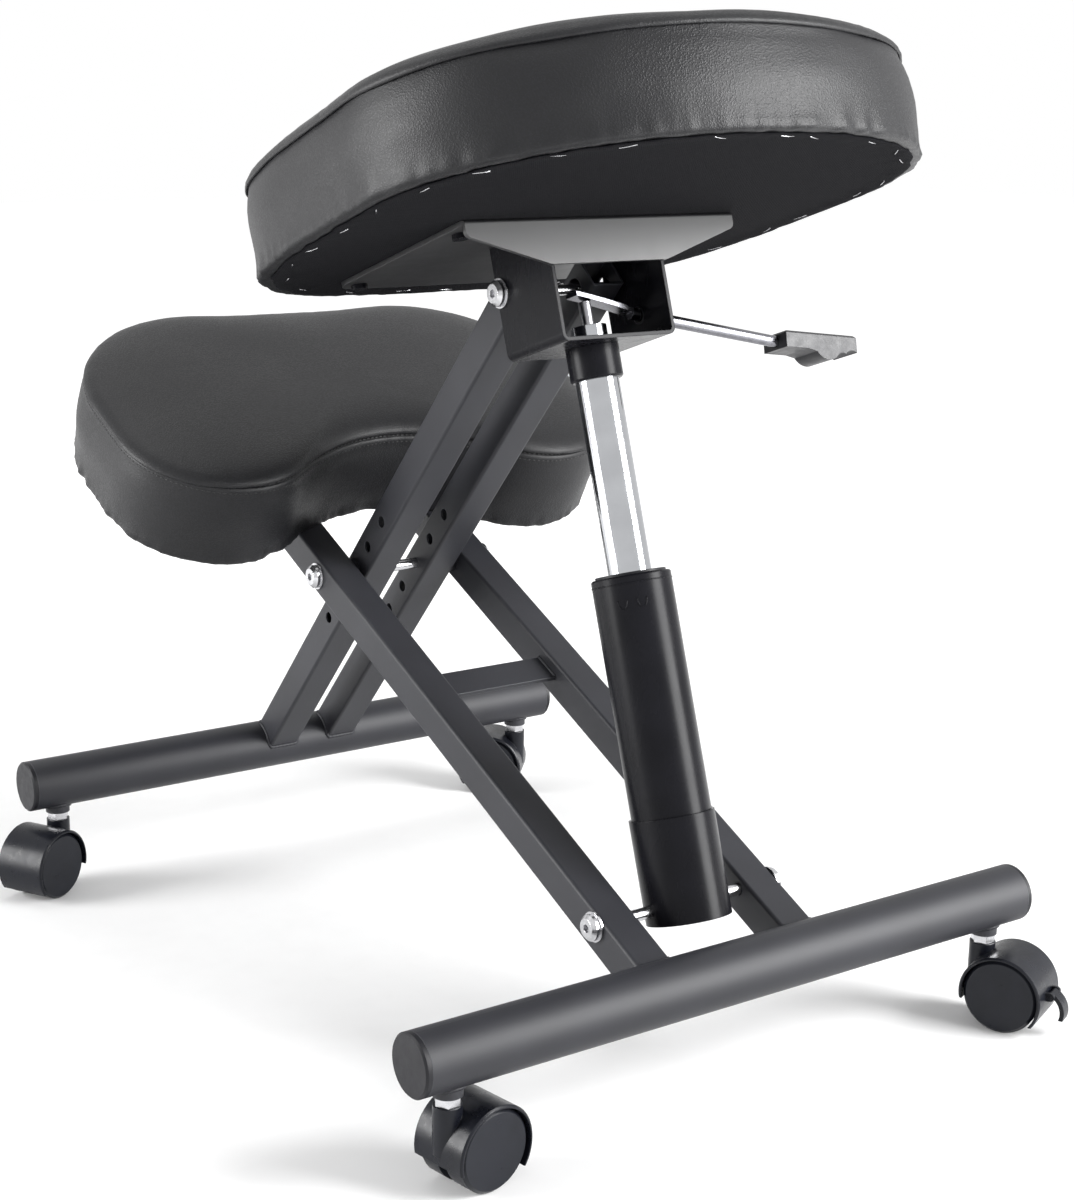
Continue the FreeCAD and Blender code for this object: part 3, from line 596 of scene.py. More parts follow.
def mesh_piece(name: str, points: np.ndarray, faces: Iterable[Sequence[int]], body: str, dress: Dress) -> bpy.types.Object:
    """A new piece that rides on a body.

    Args:
        name: the piece's name.
        points: its vertices in metres, in the chair's frame.
        faces: vertex numbers of each face.
        body: the body that it rides on.
        dress: its finish.

    Returns:
        The new object.
    """
    mesh = bpy.data.meshes.new(name)
    mesh.from_pydata([tuple(p) for p in points], [], [tuple(f) for f in faces])
    shell = bmesh.new()
    shell.from_mesh(mesh)
    bmesh.ops.recalc_face_normals(shell, faces=shell.faces)
    shell.to_mesh(mesh)
    shell.free()
    mesh.polygons.foreach_set("use_smooth", [True] * len(mesh.polygons))
    piece = bpy.data.objects.new(name, mesh)
    bpy.context.scene.collection.objects.link(piece)
    wear(piece, dress)
    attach(piece, body)
    LOG.info("%s: %d faces on %s", name, len(mesh.polygons), body)
    return piece


def ring_faces(rows: int, columns: int) -> list[tuple[int, int, int, int]]:
    """Quads of a grid that closes on itself along its columns.

    Args:
        rows: number of rings.
        columns: points in each ring.

    Returns:
        Vertex numbers of each quad.
    """
    return [(r * columns + c, r * columns + (c + 1) % columns,
             (r + 1) * columns + (c + 1) % columns, (r + 1) * columns + c)
            for r in range(rows - 1) for c in range(columns)]


def tube_mesh(path: np.ndarray, radii: np.ndarray, sides: int = 10) -> tuple[np.ndarray, list[Sequence[int]]]:
    """Round tube with closed ends along a path.

    Args:
        path: centre points in metres.
        radii: radius at each point.
        sides: points round the tube.

    Returns:
        Its vertices and faces.
    """
    tangents = np.gradient(path, axis=0)
    tangents /= np.linalg.norm(tangents, axis=1)[:, None]
    side = np.cross(tangents[0], (0.31, 0.52, 0.79))
    rings = []
    for point, tangent, radius in zip(path, tangents, radii):
        side = side - tangent * side.dot(tangent)
        side /= np.linalg.norm(side)
        other = np.cross(tangent, side)
        turns = np.arange(sides) / sides * math.tau
        rings.append(point + radius * (np.cos(turns)[:, None] * side + np.sin(turns)[:, None] * other))
    faces: list[Sequence[int]] = list(ring_faces(len(path), sides))
    faces.append(tuple(range(sides)))
    last = (len(path) - 1) * sides
    faces.append(tuple(range(last, last + sides)))
    return np.vstack(rings), faces


def joined(parts: Sequence[tuple[np.ndarray, list[Sequence[int]]]]) -> tuple[np.ndarray, list[Sequence[int]]]:
    """Several meshes as one.

    Args:
        parts: (vertices, faces) pairs.

    Returns:
        All their vertices and faces.
    """
    points, faces, start = [], [], 0
    for some, cells in parts:
        points.append(some)
        faces += [tuple(i + start for i in cell) for cell in cells]
        start += len(some)
    return np.vstack(points), faces


def resampled(points: np.ndarray, count: int) -> np.ndarray:
    """A closed line divided evenly.

    Args:
        points: the line's points, without the first again at the end.
        count: how many points to return.

    Returns:
        The even points.
    """
    loop = np.vstack([points, points[:1]])
    run = np.concatenate([[0.0], np.cumsum(np.linalg.norm(np.diff(loop, axis=0), axis=1))])
    even = np.arange(count) / count * run[-1]
    return np.column_stack([np.interp(even, run, loop[:, k]) for k in range(loop.shape[1])])


def ripple(point: Sequence[float], scale: float, seed: float) -> float:
    """Smooth noise about zero.

    Args:
        point: where, in metres.
        scale: cells per metre.
        seed: shift that picks the pattern.

    Returns:
        A value from about -1 to 1.
    """
    return noise.noise(Vector((point[0] * scale + seed, point[1] * scale - seed, point[2] * scale + 2 * seed)))


# Upholstery


@dataclass
class Pad:
    """A board with foam, a leather cover with a sewn edge, and a cloth stapled underneath."""

    name: str
    body: str
    mount: str
    node: str
    cloth_node: str
    band: float
    crown: float
    foot_scale: float
    rim: float = 7.0 * MM
    board: float = 12.0 * MM
    lap: float = 1.6 * MM
    columns: int = 400
    seam_scale: float = 0.993
    cap: float = 7.0 * MM
    gather: float = 1.1 * MM
    slack: float = 0.022
    pressure: float = 4.0
    voxel: float = 5.0 * MM
    frames: int = 20
    top_share: float = 0.3
    sag: float = 3.5 * MM
    seed: float = 3.0
    pitch: float = 3.7 * MM
    thread: float = 0.5 * MM
    second_line: float = 0.0
    staple_gap: float = 42.0 * MM
    staple_half: float = 4.8 * MM
    staple_wire: float = 0.3 * MM
    seam_relief: tuple[tuple[float, float, float], ...] = (
        (-1.3, 0.0, 1.1), (0.55, -4.0, 2.6), (0.45, 3.6, 2.2), (-0.4, 7.2, 1.0),
    )

    def plan(self) -> np.ndarray:
        """The pad's widest outline about its own middle, as (x, y) in metres."""
        raise NotImplementedError

    def frame(self) -> Matrix:
        """Frame on the middle of the pad's underside, Z out of its top.

        Returns:
            The frame's matrix.
        """
        seat = next(m for m in frame["record"]["mounts"] if m["name"] == self.mount)
        up = Vector(seat["axis"])
        across = Vector((1, 0, 0))
        origin = Vector(seat["pos_m"]) - up * (self.band + self.crown)
        turn = Matrix((across, up.cross(across), up)).transposed().to_4x4()
        return Matrix.Translation(origin) @ turn

    def depth(self) -> float:
        """The plan's depth."""
        outline = self.plan()
        return float(outline[:, 1].max() - outline[:, 1].min())

    def levels(self) -> list[tuple[float, float]]:
        """Scale and height of each row of the cover, from under the board over the top.

        Returns:
            (scale, height) pairs.
        """
        foot = self.foot_scale
        rows = [(foot + 0.25 * (1 - foot) * t, self.band * (0.03 + 0.12 * t)) for t in (0.0, 0.5, 1.0)]
        rows += [(1 - 0.75 * (1 - foot) * (1 - t) ** 2, self.band * (0.15 + 0.45 * t))
                 for t in (0.15, 0.3, 0.45, 0.6, 0.8, 1.0)]
        near = [0.3, 0.55, 0.72, 0.82, 0.88, 0.915, 0.94, 0.955, 0.97, 0.98, 0.99, 1.0]
        rows += [(1 - (1 - self.seam_scale) * t ** 2, self.band * (0.6 + 0.4 * t)) for t in near]
        for step in (0.012, 0.025, 0.04, 0.06, 0.085, 0.12, 0.17, 0.24, 0.32, 0.42, 0.54, 0.67, 0.82, 1.0):
            turn = step * math.pi / 2
            scale = self.seam_scale * (1 - 0.5 * (1 - math.cos(turn)))
            rows.append((scale, self.band + self.crown * math.sin(turn)))
        rows += [(0.5 * self.seam_scale * t, self.band + self.crown) for t in (0.8, 0.55, 0.3)]
        return rows

    def grid(self) -> np.ndarray:
        """The cover's nominal rows in the pad's own frame.

        Returns:
            Array of rows, columns and (x, y, z).
        """
        outline = resampled(self.plan(), self.columns)
        rows = [np.column_stack([outline * scale, np.full(len(outline), height)]) for scale, height in self.levels()]
        return np.array(rows)

    def inflated(self, grid: np.ndarray) -> BVHTree:
        """The foam under its cover, swollen by a cloth simulation.

        Args:
            grid: the cover's nominal rows.

        Returns:
            A search tree of the swollen skin, in the pad's own frame.
        """
        rise = np.clip(grid[..., 2] / (0.35 * self.band), 0.0, 1.0)
        start = grid.copy()
        start[..., :2] *= (1.0 - self.slack * rise ** 0.5)[..., None]
        start[..., 2] = np.minimum(start[..., 2], self.band + self.crown - self.sag)
        every = start[:, ::3]
        rows, columns = every.shape[:2]
        faces: list[Sequence[int]] = list(ring_faces(rows, columns))
        faces.append(tuple(range(columns)))
        faces.append(tuple(range((rows - 1) * columns, rows * columns)))
        mesh = bpy.data.meshes.new(self.name + "_foam")
        mesh.from_pydata([tuple(p) for p in every.reshape(-1, 3)], [], faces)
        foam = bpy.data.objects.new(self.name + "_foam", mesh)
        bpy.context.scene.collection.objects.link(foam)
        remesh = foam.modifiers.new("voxels", "REMESH")
        remesh.mode = "VOXEL"
        remesh.voxel_size = self.voxel
        evaluated = foam.evaluated_get(bpy.context.evaluated_depsgraph_get())
        skin = bpy.data.meshes.new_from_object(evaluated)
        foam.modifiers.clear()
        foam.data = skin
        before = np.array([v.co for v in skin.vertices])
        held = foam.vertex_groups.new(name="held")
        held.add([i for i, p in enumerate(before) if p[2] < 0.1 * self.band], 1.0, "REPLACE")
        cloth = foam.modifiers.new("cover", "CLOTH")
        tuning = {"quality": 5, "mass": 0.35, "tension_stiffness": 40.0, "compression_stiffness": 40.0,
                  "shear_stiffness": 20.0, "bending_stiffness": 8.0, "vertex_group_mass": "held",
                  "use_pressure": True, "uniform_pressure_force": self.pressure}
        for key, value in tuning.items():
            setattr(cloth.settings, key, value)
        cloth.settings.effector_weights.gravity = 0.0
        cloth.collision_settings.use_collision = False
        cloth.point_cache.frame_start = 1
        cloth.point_cache.frame_end = self.frames
        scene = bpy.context.scene
        for number in range(1, self.frames + 1):
            scene.frame_set(number)
            foam.evaluated_get(bpy.context.evaluated_depsgraph_get()).to_mesh()
        swollen = foam.evaluated_get(bpy.context.evaluated_depsgraph_get()).to_mesh()
        after = np.array([v.co for v in swollen.vertices])
        foam.modifiers.clear()
        scene.frame_set(1)
        move = after - before
        length = np.linalg.norm(move, axis=1)
        move *= (np.minimum(length, self.cap) / np.maximum(length, 1e-9))[:, None]
        points = before + move
        smooth = bmesh.new()
        smooth.from_mesh(skin)
        for vertex, point in zip(smooth.verts, points):
            vertex.co = point
        for _ in range(3):
            bmesh.ops.smooth_vert(smooth, verts=smooth.verts, factor=0.5, use_axis_x=True, use_axis_y=True,
                                  use_axis_z=True)
        tree = BVHTree.FromBMesh(smooth)
        smooth.free()
        bpy.data.objects.remove(foam)
        LOG.info("%s: cover swollen by %.1f mm at most", self.name, 1000 * float(np.minimum(length, self.cap).max()))
        return tree

    def normals(self, grid: np.ndarray) -> np.ndarray:
        """Outward normals of a grid of rows.

        Args:
            grid: rows of points.

        Returns:
            Unit normals of the same shape.
        """
        around = np.roll(grid, -1, axis=1) - np.roll(grid, 1, axis=1)
        along = np.gradient(grid, axis=0)
        out = np.cross(around, along)
        return out / np.maximum(np.linalg.norm(out, axis=2), 1e-9)[..., None]

    def settled(self, grid: np.ndarray, tree: BVHTree) -> np.ndarray:
        """The rows laid onto the swollen skin.

        Args:
            grid: the nominal rows.
            tree: the swollen skin.

        Returns:
            The moved rows.
        """
        normals = self.normals(grid)
        offsets = np.zeros(grid.shape[:2])
        reach = 16 * MM
        for r in range(grid.shape[0]):
            for c in range(grid.shape[1]):
                out = Vector(normals[r, c])
                hit = tree.ray_cast(Vector(grid[r, c]) + out * reach, -out, 2.5 * reach)[0]
                if hit is not None:
                    offsets[r, c] = (hit - Vector(grid[r, c])).dot(out)
        for _ in range(4):
            offsets = sum(np.roll(offsets, k, axis=1) for k in range(-4, 5)) / 9
        for _ in range(3):
            padded = np.vstack([offsets[:1], offsets, offsets[-1:]])
            offsets = 0.25 * padded[:-2] + 0.5 * padded[1:-1] + 0.25 * padded[2:]
        fade = np.clip(grid[..., 2] / (0.25 * self.band), 0.0, 1.0)
        fade *= 1.0 - (1.0 - self.top_share) * np.clip((grid[..., 2] - self.band) / (0.8 * self.crown), 0.0, 1.0)
        return grid + normals * (offsets * fade)[..., None]

    def sewn(self, grid: np.ndarray) -> np.ndarray:
        """The rows with the seam's groove, gathers at the foot and soft creases.

        Args:
            grid: the settled rows.

        Returns:
            The finished rows.
        """
        normals = self.normals(grid)
        height = self.grid()[..., 2]
        above = np.linalg.norm(grid - grid[self.seam_row()][None], axis=2)
        from_seam = np.where(height > self.band, -above, above)
        push = np.zeros_like(from_seam)
        for relief, place, width in self.seam_relief:
            push += relief * MM * np.exp(-(((from_seam - place * MM) / (width * MM)) ** 2))
        for r in range(grid.shape[0]):
            for c in range(grid.shape[1]):
                point = grid[r, c]
                foot = math.exp(-((height[r, c] / (7.0 * MM)) ** 2))
                flat = (point[0], point[1], 0.0)
                gather = 0.7 - 3.4 * abs(ripple(flat, 62.0, self.seed)) + 0.9 * ripple(flat, 190.0, self.seed + 5)
                push[r, c] += foot * gather * self.gather
                stretched = Vector((point[0], point[1], point[2] * 2.6))
                crease = ripple(stretched, 22.0, self.seed + 9)
                side = 1.0 if height[r, c] < self.band else 0.4
                push[r, c] += side * crease * 0.7 * MM
                pull = 1.0 - min(1.0, height[r, c] / (0.55 * self.band))
                push[r, c] += pull * 0.7 * MM * ripple(point, 48.0, self.seed + 17)
        seam_pull = np.exp(-((from_seam / (9.0 * MM)) ** 2))
        wobble = np.array([ripple(p, 130.0, self.seed + 23) for p in grid[self.seam_row()]])
        push += seam_pull * wobble[None, :] * 0.35 * MM
        return grid + normals * push[..., None]

    def seam_row(self) -> int:
        """Number of the row that the seam runs on."""
        heights = [abs(height - self.band) for _, height in self.levels()]
        return heights.index(min(heights))

    def build(self) -> bpy.types.Object:
        """Build the cover, its stitches, the cloth underneath and the staples.

        Returns:
            The cover.
        """
        base = self.frame()
        nominal = self.grid()
        grid = self.settled(nominal, self.inflated(nominal))
        grid = self.sewn(grid)
        cover = self.cover(grid, base)
        self.stitches(grid, base)
        self.dust_cloth(base)
        self.staples(base)
        return cover

    def placed(self, points: np.ndarray, base: Matrix) -> np.ndarray:
        """Points of the pad's own frame in the chair's frame.

        Args:
            points: array of points.
            base: the pad's frame.

        Returns:
            The moved points, one per row.
        """
        turn = np.array(base.to_3x3())
        return points.reshape(-1, 3) @ turn.T + np.array(base.translation)

    def inner_rows(self, grid: np.ndarray) -> list[np.ndarray]:
        """Rows of the cover that fold under the board and line the recess.

        Args:
            grid: the finished outer rows.

        Returns:
            The rows, from the innermost to the foot.
        """
        outline = resampled(self.plan(), self.columns)
        foot = grid[0]
        inset = self.foot_scale - 2 * self.rim / self.depth()
        rows = []

        def row(scale: float, height: float, wave: float = 0.0) -> np.ndarray:
            """One row of the fold.

            Args:
                scale: share of the plan's outline.
                height: height above the pad's underside.
                wave: depth of its waves.

            Returns:
                The row's points.
            """
            made = np.column_stack([outline * scale, np.full(len(outline), height)])
            if wave:
                made[:, 2] += [wave * ripple(p, 110.0, self.seed + 31) for p in made]
            return made

        top = self.board + 0.3 * MM
        rows.append(row(0.35, top))
        rows.append(row(inset + 0.002, top))
        rows.append(row(inset + 0.002, 1.2 * MM))
        rows.append(row(inset - 0.01, -0.12 * MM))
        rows.append(row(inset - 0.05, -0.15 * MM))
        rows.append(row(inset - 0.05, -0.45 * self.lap, 0.05 * self.lap))
        for t in (0.25, 0.5, 0.75):
            edge = row(inset - 0.05, -0.5 * self.lap, 0.3 * self.lap)
            outer = foot.copy()
            outer[:, 2] = -0.45 * self.lap
            outer[:, :2] *= 0.985
            blend = edge * (1 - t) + outer * t
            blend[:, 2] += [0.3 * self.lap * ripple(p, 140.0, self.seed + 37) for p in blend]
            rows.append(blend)
        under = foot.copy()
        under[:, :2] *= 0.992
        under[:, 2] = -0.1 * self.lap
        rows.append(under)
        return rows

    def cover(self, grid: np.ndarray, base: Matrix) -> bpy.types.Object:
        """The leather cover as one closed skin.

        Args:
            grid: the finished outer rows.
            base: the pad's frame.

        Returns:
            The cover.
        """
        rows = self.inner_rows(grid) + list(grid)
        faces: list[Sequence[int]] = list(ring_faces(len(rows), self.columns))
        faces.append(tuple(range(self.columns)))
        last = (len(rows) - 1) * self.columns
        points = np.vstack(rows)
        middle = points[last:].mean(axis=0)
        points = np.vstack([points, middle])
        faces += [(last + c, last + (c + 1) % self.columns, len(points) - 1) for c in range(self.columns)]
        piece = mesh_piece(self.name + "_cover", self.placed(points, base), faces, self.body, Dress.LEATHER)
        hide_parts(self.node)
        return piece

    def stitches(self, grid: np.ndarray, base: Matrix) -> bpy.types.Object:
        """Dashes of thread in the seam.

        Args:
            grid: the finished outer rows.
            base: the pad's frame.

        Returns:
            The stitches as one piece.
        """
        normals = self.normals(grid)
        seam = self.seam_row()
        lines = [grid[seam - 1] + normals[seam - 1] * 0.3 * MM]
        if self.second_line:
            drops = self.band - self.grid()[:, 0, 2]
            row = int(np.argmin(np.abs(drops - self.second_line)))
            lines.append(grid[row] - normals[row] * 0.12 * MM)
        parts = []
        for points in lines:
            line = self.placed(points, base)
            perimeter = float(np.linalg.norm(np.roll(line, -1, axis=0) - line, axis=1).sum())
            count = round(perimeter / self.pitch)
            even = resampled(line, count * 5)
            for i in range(count):
                path = even[[(i * 5 + k) % len(even) for k in range(4)]]
                parts.append(tube_mesh(path, np.array([0.5, 1.0, 1.0, 0.5]) * self.thread, 6))
        points, faces = joined(parts)
        return mesh_piece(self.name + "_stitches", points, faces, self.body, Dress.THREAD)

    def dust_cloth(self, base: Matrix) -> bpy.types.Object:
        """Thin cloth under the board, over the cover's folded edge.

        Args:
            base: the pad's frame.

        Returns:
            The cloth.
        """
        outline = resampled(self.plan(), self.columns)
        inset = self.foot_scale - 2 * self.rim / self.depth()
        edge = np.array([inset - 0.004 + 0.012 * ripple((*p, 0), 70.0, self.seed + 41) for p in outline])
        rows = []
        for t, drop, wave in ((1.0, -0.9, 0.25), (0.99, -1.0, 0.5), (0.975, -0.95, 0.6), (0.955, -0.8, 0.6),
                              (0.93, -0.55, 0.4), (0.9, -0.42, 0.2), (0.8, -0.4, 0.08), (0.35, -0.4, 0.05)):
            ring = outline * (edge * t)[:, None]
            sink = np.array([drop * self.lap - wave * self.lap * abs(ripple((*(p / t * 0.9), 0), 75.0, self.seed + 43))
                             for p in ring])
            rows.append(np.column_stack([ring, sink]))
        thick = 0.15 * self.lap
        upper = [np.column_stack([r[:, :2], r[:, 2] + thick]) for r in reversed(rows)]
        points = np.vstack(rows + upper)
        sheet_rows = len(rows)
        faces: list[Sequence[int]] = list(ring_faces(sheet_rows, self.columns))
        faces.append(tuple(range((sheet_rows - 1) * self.columns, sheet_rows * self.columns)))
        start = sheet_rows * self.columns
        faces += [tuple(i + start for i in cell) for cell in ring_faces(sheet_rows, self.columns)]
        faces.append(tuple(range(start, start + self.columns)))
        end = start + (sheet_rows - 1) * self.columns
        faces += [(c, (c + 1) % self.columns, end + (c + 1) % self.columns, end + c) for c in range(self.columns)]
        piece = mesh_piece(self.name + "_dust_cloth", self.placed(points, base), faces, self.body, Dress.CLOTH)
        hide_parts(self.cloth_node)
        ring = outline * edge[:, None]
        return piece

    def staples(self, base: Matrix) -> bpy.types.Object:
        """Wire staples through the cloth into the board.

        Args:
            base: the pad's frame.

        Returns:
            The staples as one piece.
        """
        draw = random.Random(int(self.seed * 10))
        inset = self.foot_scale - 2 * self.rim / self.depth()
        outline = resampled(self.plan() * (inset - 0.035), 720)
        perimeter = float(np.linalg.norm(np.roll(outline, -1, axis=0) - outline, axis=1).sum())
        count = round(perimeter / self.staple_gap)
        parts = []
        for i in range(count):
            at = int((i + draw.uniform(-0.25, 0.25)) / count * len(outline)) % len(outline)
            middle = outline[at] * draw.uniform(0.985, 1.005)
            along = outline[(at + 3) % len(outline)] - outline[at - 3]
            angle = math.atan2(along[1], along[0]) + draw.uniform(-0.5, 0.5)
            step = np.array([math.cos(angle), math.sin(angle)]) * self.staple_half
            low = -1.02 * self.lap
            path = np.array([[*(middle - step), 1.0 * MM], [*(middle - step), low], [*middle, low - 0.1 * self.lap],
                             [*(middle + step), low], [*(middle + step), 1.0 * MM]])
            parts.append(tube_mesh(path, np.full(5, self.staple_wire), 6))
        points, faces = joined(parts)
        return mesh_piece(self.name + "_staples", self.placed(points, base), faces, self.body, Dress.ZINC)


@dataclass
class SeatPad(Pad):
    """The seat: squarish at the front and rounder at the rear."""

    width: float = 397.0 * MM
    flare: float = 0.037
    rear_depth: float = 158.0 * MM
    front_depth: float = 239.0 * MM
    rear_power: float = 2.1
    front_power: float = 3.7

    def plan(self) -> np.ndarray:
        """The pad's widest outline.

        Returns:
            Points as (x, y).
        """
        turns = np.arange(2880) / 2880 * math.tau
        run, rise = np.cos(turns), np.sin(turns)
        power = np.where(rise > 0, self.rear_power, self.front_power)
        depth = np.where(rise > 0, self.rear_depth, self.front_depth)
        y = np.sign(rise) * np.abs(rise) ** (2 / power) * depth
        x = np.sign(run) * np.abs(run) ** (2 / power) * self.width / 2
        return np.column_stack([x * (1 + self.flare * 2 * y / self.width), y])


@dataclass
class KneePad(Pad):
    """The knee rest: two lobes with a bay between them."""

    width: float = 417.0 * MM
    length: float = 236.0 * MM
    bay: float = 46.0 * MM
    lobe: float = 76.0 * MM
    corner: float = 118.0 * MM

    def plan(self) -> np.ndarray:
        """The pad's widest outline.

        Returns:
            Points as (x, y).
        """
        half, rear, front = self.width / 2, self.length / 2, -self.length / 2
        lobe_x, lobe_y = half - self.lobe, rear - self.lobe
        bay_y = rear - self.bay
        rise = bay_y - lobe_y
        bay_radius = (lobe_x ** 2 + rise ** 2 - self.lobe ** 2) / (2 * (self.lobe - rise))
        bay_centre = bay_y + bay_radius
        meeting = math.atan2(bay_centre - lobe_y, -lobe_x)

        def arc(x: float, y: float, radius: float, first: float, last: float) -> np.ndarray:
            """Points of an arc."""
            turns = np.linspace(first, last, 160)
            return np.column_stack([x + radius * np.cos(turns), y + radius * np.sin(turns)])

        right = half - self.corner
        corner_y = front + self.corner
        return np.vstack([
            arc(right, corner_y, self.corner, -math.pi / 2, 0.0),
            arc(lobe_x, lobe_y, self.lobe, 0.0, meeting),
            arc(0.0, bay_centre, bay_radius, meeting - math.pi, -meeting)[1:-1],
            arc(-lobe_x, lobe_y, self.lobe, math.pi - meeting, math.pi),
            arc(-right, corner_y, self.corner, math.pi, 1.5 * math.pi),
        ])


# Steelwork


class Steelwork:
    """The frame's carried-over parts in their finishes."""

    def choose(self, node: str) -> Dress:
        """The finish of a carried-over node.

        Args:
            node: the node's name.

        Returns:
            Its finish.
        """
        rules: list[tuple[Callable[[str], bool], Dress]] = [
            (lambda n: n.endswith("_board"), Dress.WOOD),
            (lambda n: n.endswith("_cloth"), Dress.CLOTH),
            (lambda n: n.endswith("_cushion"), Dress.LEATHER),
            (lambda n: n.endswith(("_hood", "_brake_lever")), Dress.CASTER),
            (lambda n: "_wheel_" in n, Dress.TREAD),
            (lambda n: n == "lever_handle", Dress.GRIP),
            (lambda n: n.endswith(("_caps", "_plugs", "_bush", "pivot_washers")), Dress.PLASTIC),
            (lambda n: n == "pressure_tube", Dress.CHROME),
            (lambda n: n == "lever_rod", Dress.DARK_STEEL),
            (lambda n: n.endswith(("_bolt", "_nut", "_stems")), Dress.ZINC),
            (lambda n: n.endswith("_axle") or n in ("piston_rod", "valve_pin", "thrust_washers"), Dress.STEEL),
            (lambda n: n == "seat_plate", Dress.SHEET),
            (lambda n: n.endswith("_screws") or n in ("seat_bracket", "taper_collar", "gas_column", "cylinder_sleeve"),
             Dress.ENAMEL),
        ]
        return next((dress for test, dress in rules if test(node)), Dress.POWDER)

    def build(self) -> None:
        """Dress every carried-over node."""
        for name, node in frame["nodes"].items():
            wear(node, self.choose(name))
        LOG.info("steelwork: %d nodes dressed", len(frame["nodes"]))


@dataclass
class Bead:
    """Size of a weld bead and of its ripples."""

    radius: float = 1.7 * MM
    ripple: float = 0.22
    pitch: float = 3.4 * MM
    step: float = 1.1 * MM

    def mesh(self, path: np.ndarray) -> tuple[np.ndarray, list[Sequence[int]]]:
        """Rippled bead along a path.

        Args:
            path: the weld line's points in metres.

        Returns:
            Its vertices and faces.
        """
        run = np.concatenate([[0.0], np.cumsum(np.linalg.norm(np.diff(path, axis=0), axis=1))])
        even = np.arange(0.0, run[-1], self.step)
        line = np.column_stack([np.interp(even, run, path[:, k]) for k in range(3)])
        wave = np.abs(np.sin(even / self.pitch * math.pi))
        radii = self.radius * (1.0 - self.ripple * wave)
        radii *= np.array([1.0 + 0.12 * ripple(p, 300.0, 2.0) for p in line])
        return tube_mesh(line, radii, 8)


@dataclass
class Welds:
    """Beads where the legs, the caster nuts and the cross bar meet the tubes."""

    middle: float = -6.8 * MM
    tube_height: float = 84.0 * MM
    rear_y: float = 276.0 * MM
    front_y: float = -282.0 * MM
    tube_radius: float = 19.0 * MM
    leg: float = 25.0 * MM
    corner: float = 2.4 * MM
    outer_centre: float = 56.9 * MM
    inner_centre: float = 26.4 * MM
    outer_angle: float = -24.36
    inner_angle: float = 48.2224
    outer_drop: float = 6.0 * MM
    bar_reach: float = 298.0 * MM
    bar_width: float = 23.0 * MM
    bar_top: float = -2.5 * MM
    caster_x: float = 212.0 * MM
    nut_radius: float = 9.0 * MM
    bead: Bead = field(default_factory=Bead)

    def frame(self, y: float, degrees: float) -> Matrix:
        """Frame on a base tube's axis.

        Args:
            y: the tube's place.
            degrees: turn about X.

        Returns:
            The frame's matrix.
        """
        return Matrix.Translation((self.middle, y, self.tube_height)) @ Matrix.Rotation(math.radians(degrees), 4, "X")

    def coping(self, centre: float, drop: float, way: float) -> np.ndarray:
        """Line in which a leg's outside meets the tube, in the leg's frame.

        Args:
            centre: the leg's middle across the chair.
            drop: how far its middle lies below the tube's axis.
            way: which way the leg leaves the tube along Y.

        Returns:
            The line's points.
        """
        inner = self.leg / 2 - self.corner
        points = []
        for quarter, (side, level) in enumerate(((1, 1), (-1, 1), (-1, -1), (1, -1))):
            for t in np.linspace(0.0, math.pi / 2, 5):
                turn = quarter * math.pi / 2 + t
                x = side * inner + self.corner * math.cos(turn)
                z = level * inner + self.corner * math.sin(turn) - drop
                points.append((centre + x, 0.0, z))
        ring = resampled(np.array(points), 96)
        ring = np.vstack([ring, ring[:1]])
        ring[:, 1] = way * np.sqrt(np.maximum(self.tube_radius ** 2 - ring[:, 2] ** 2, 1e-9))
        return ring

    def nut_line(self, side: int) -> np.ndarray:
        """Line in which a caster nut meets the tube, in the tube's frame.

        Args:
            side: which end of the tube.

        Returns:
            The line's points.
        """
        turns = np.linspace(0.0, math.tau, 60)
        x = side * self.caster_x + self.nut_radius * np.cos(turns)
        y = self.nut_radius * np.sin(turns)
        return np.column_stack([x, y, -np.sqrt(self.tube_radius ** 2 - y ** 2)])

    def bar_lines(self) -> list[np.ndarray]:
        """Weld lines of the cross bar on the outer legs, in the outer legs' frame.

        Returns:
            One line for each leg.
        """
        reach = self.outer_centre - self.leg / 2
        ends = (-self.bar_reach - self.bar_width / 2, -self.bar_reach + self.bar_width / 2)
        return [np.array([(side * reach, y, self.bar_top) for y in np.linspace(*ends, 12)]) for side in (-1, 1)]

    def moved(self, line: np.ndarray, place: Matrix) -> np.ndarray:
        """A line carried into the chair's frame."""
        return np.array([place @ Vector(p) for p in line])

    def build(self) -> None:
        """Build the beads of the rear frame and of the front frame."""
        outer = self.frame(self.rear_y, self.outer_angle)
        inner = self.frame(self.front_y, self.inner_angle)
        rear_tube, front_tube = self.frame(self.rear_y, 0.0), self.frame(self.front_y, 0.0)
        rear = [self.moved(self.coping(side * self.outer_centre, self.outer_drop, -1.0), outer) for side in (-1, 1)]
        rear += [self.moved(line, outer) for line in self.bar_lines()]
        rear += [self.moved(self.nut_line(side), rear_tube) for side in (-1, 1)]
        front = [self.moved(self.coping(side * self.inner_centre, 0.0, 1.0), inner) for side in (-1, 1)]
        front += [self.moved(self.nut_line(side), front_tube) for side in (-1, 1)]
        for name, lines, body in (("rear_welds", rear, "frame"), ("front_welds", front, "front_frame")):
            points, faces = joined([self.bead.mesh(line) for line in lines])
            mesh_piece(name, points, faces, body, Dress.POWDER)


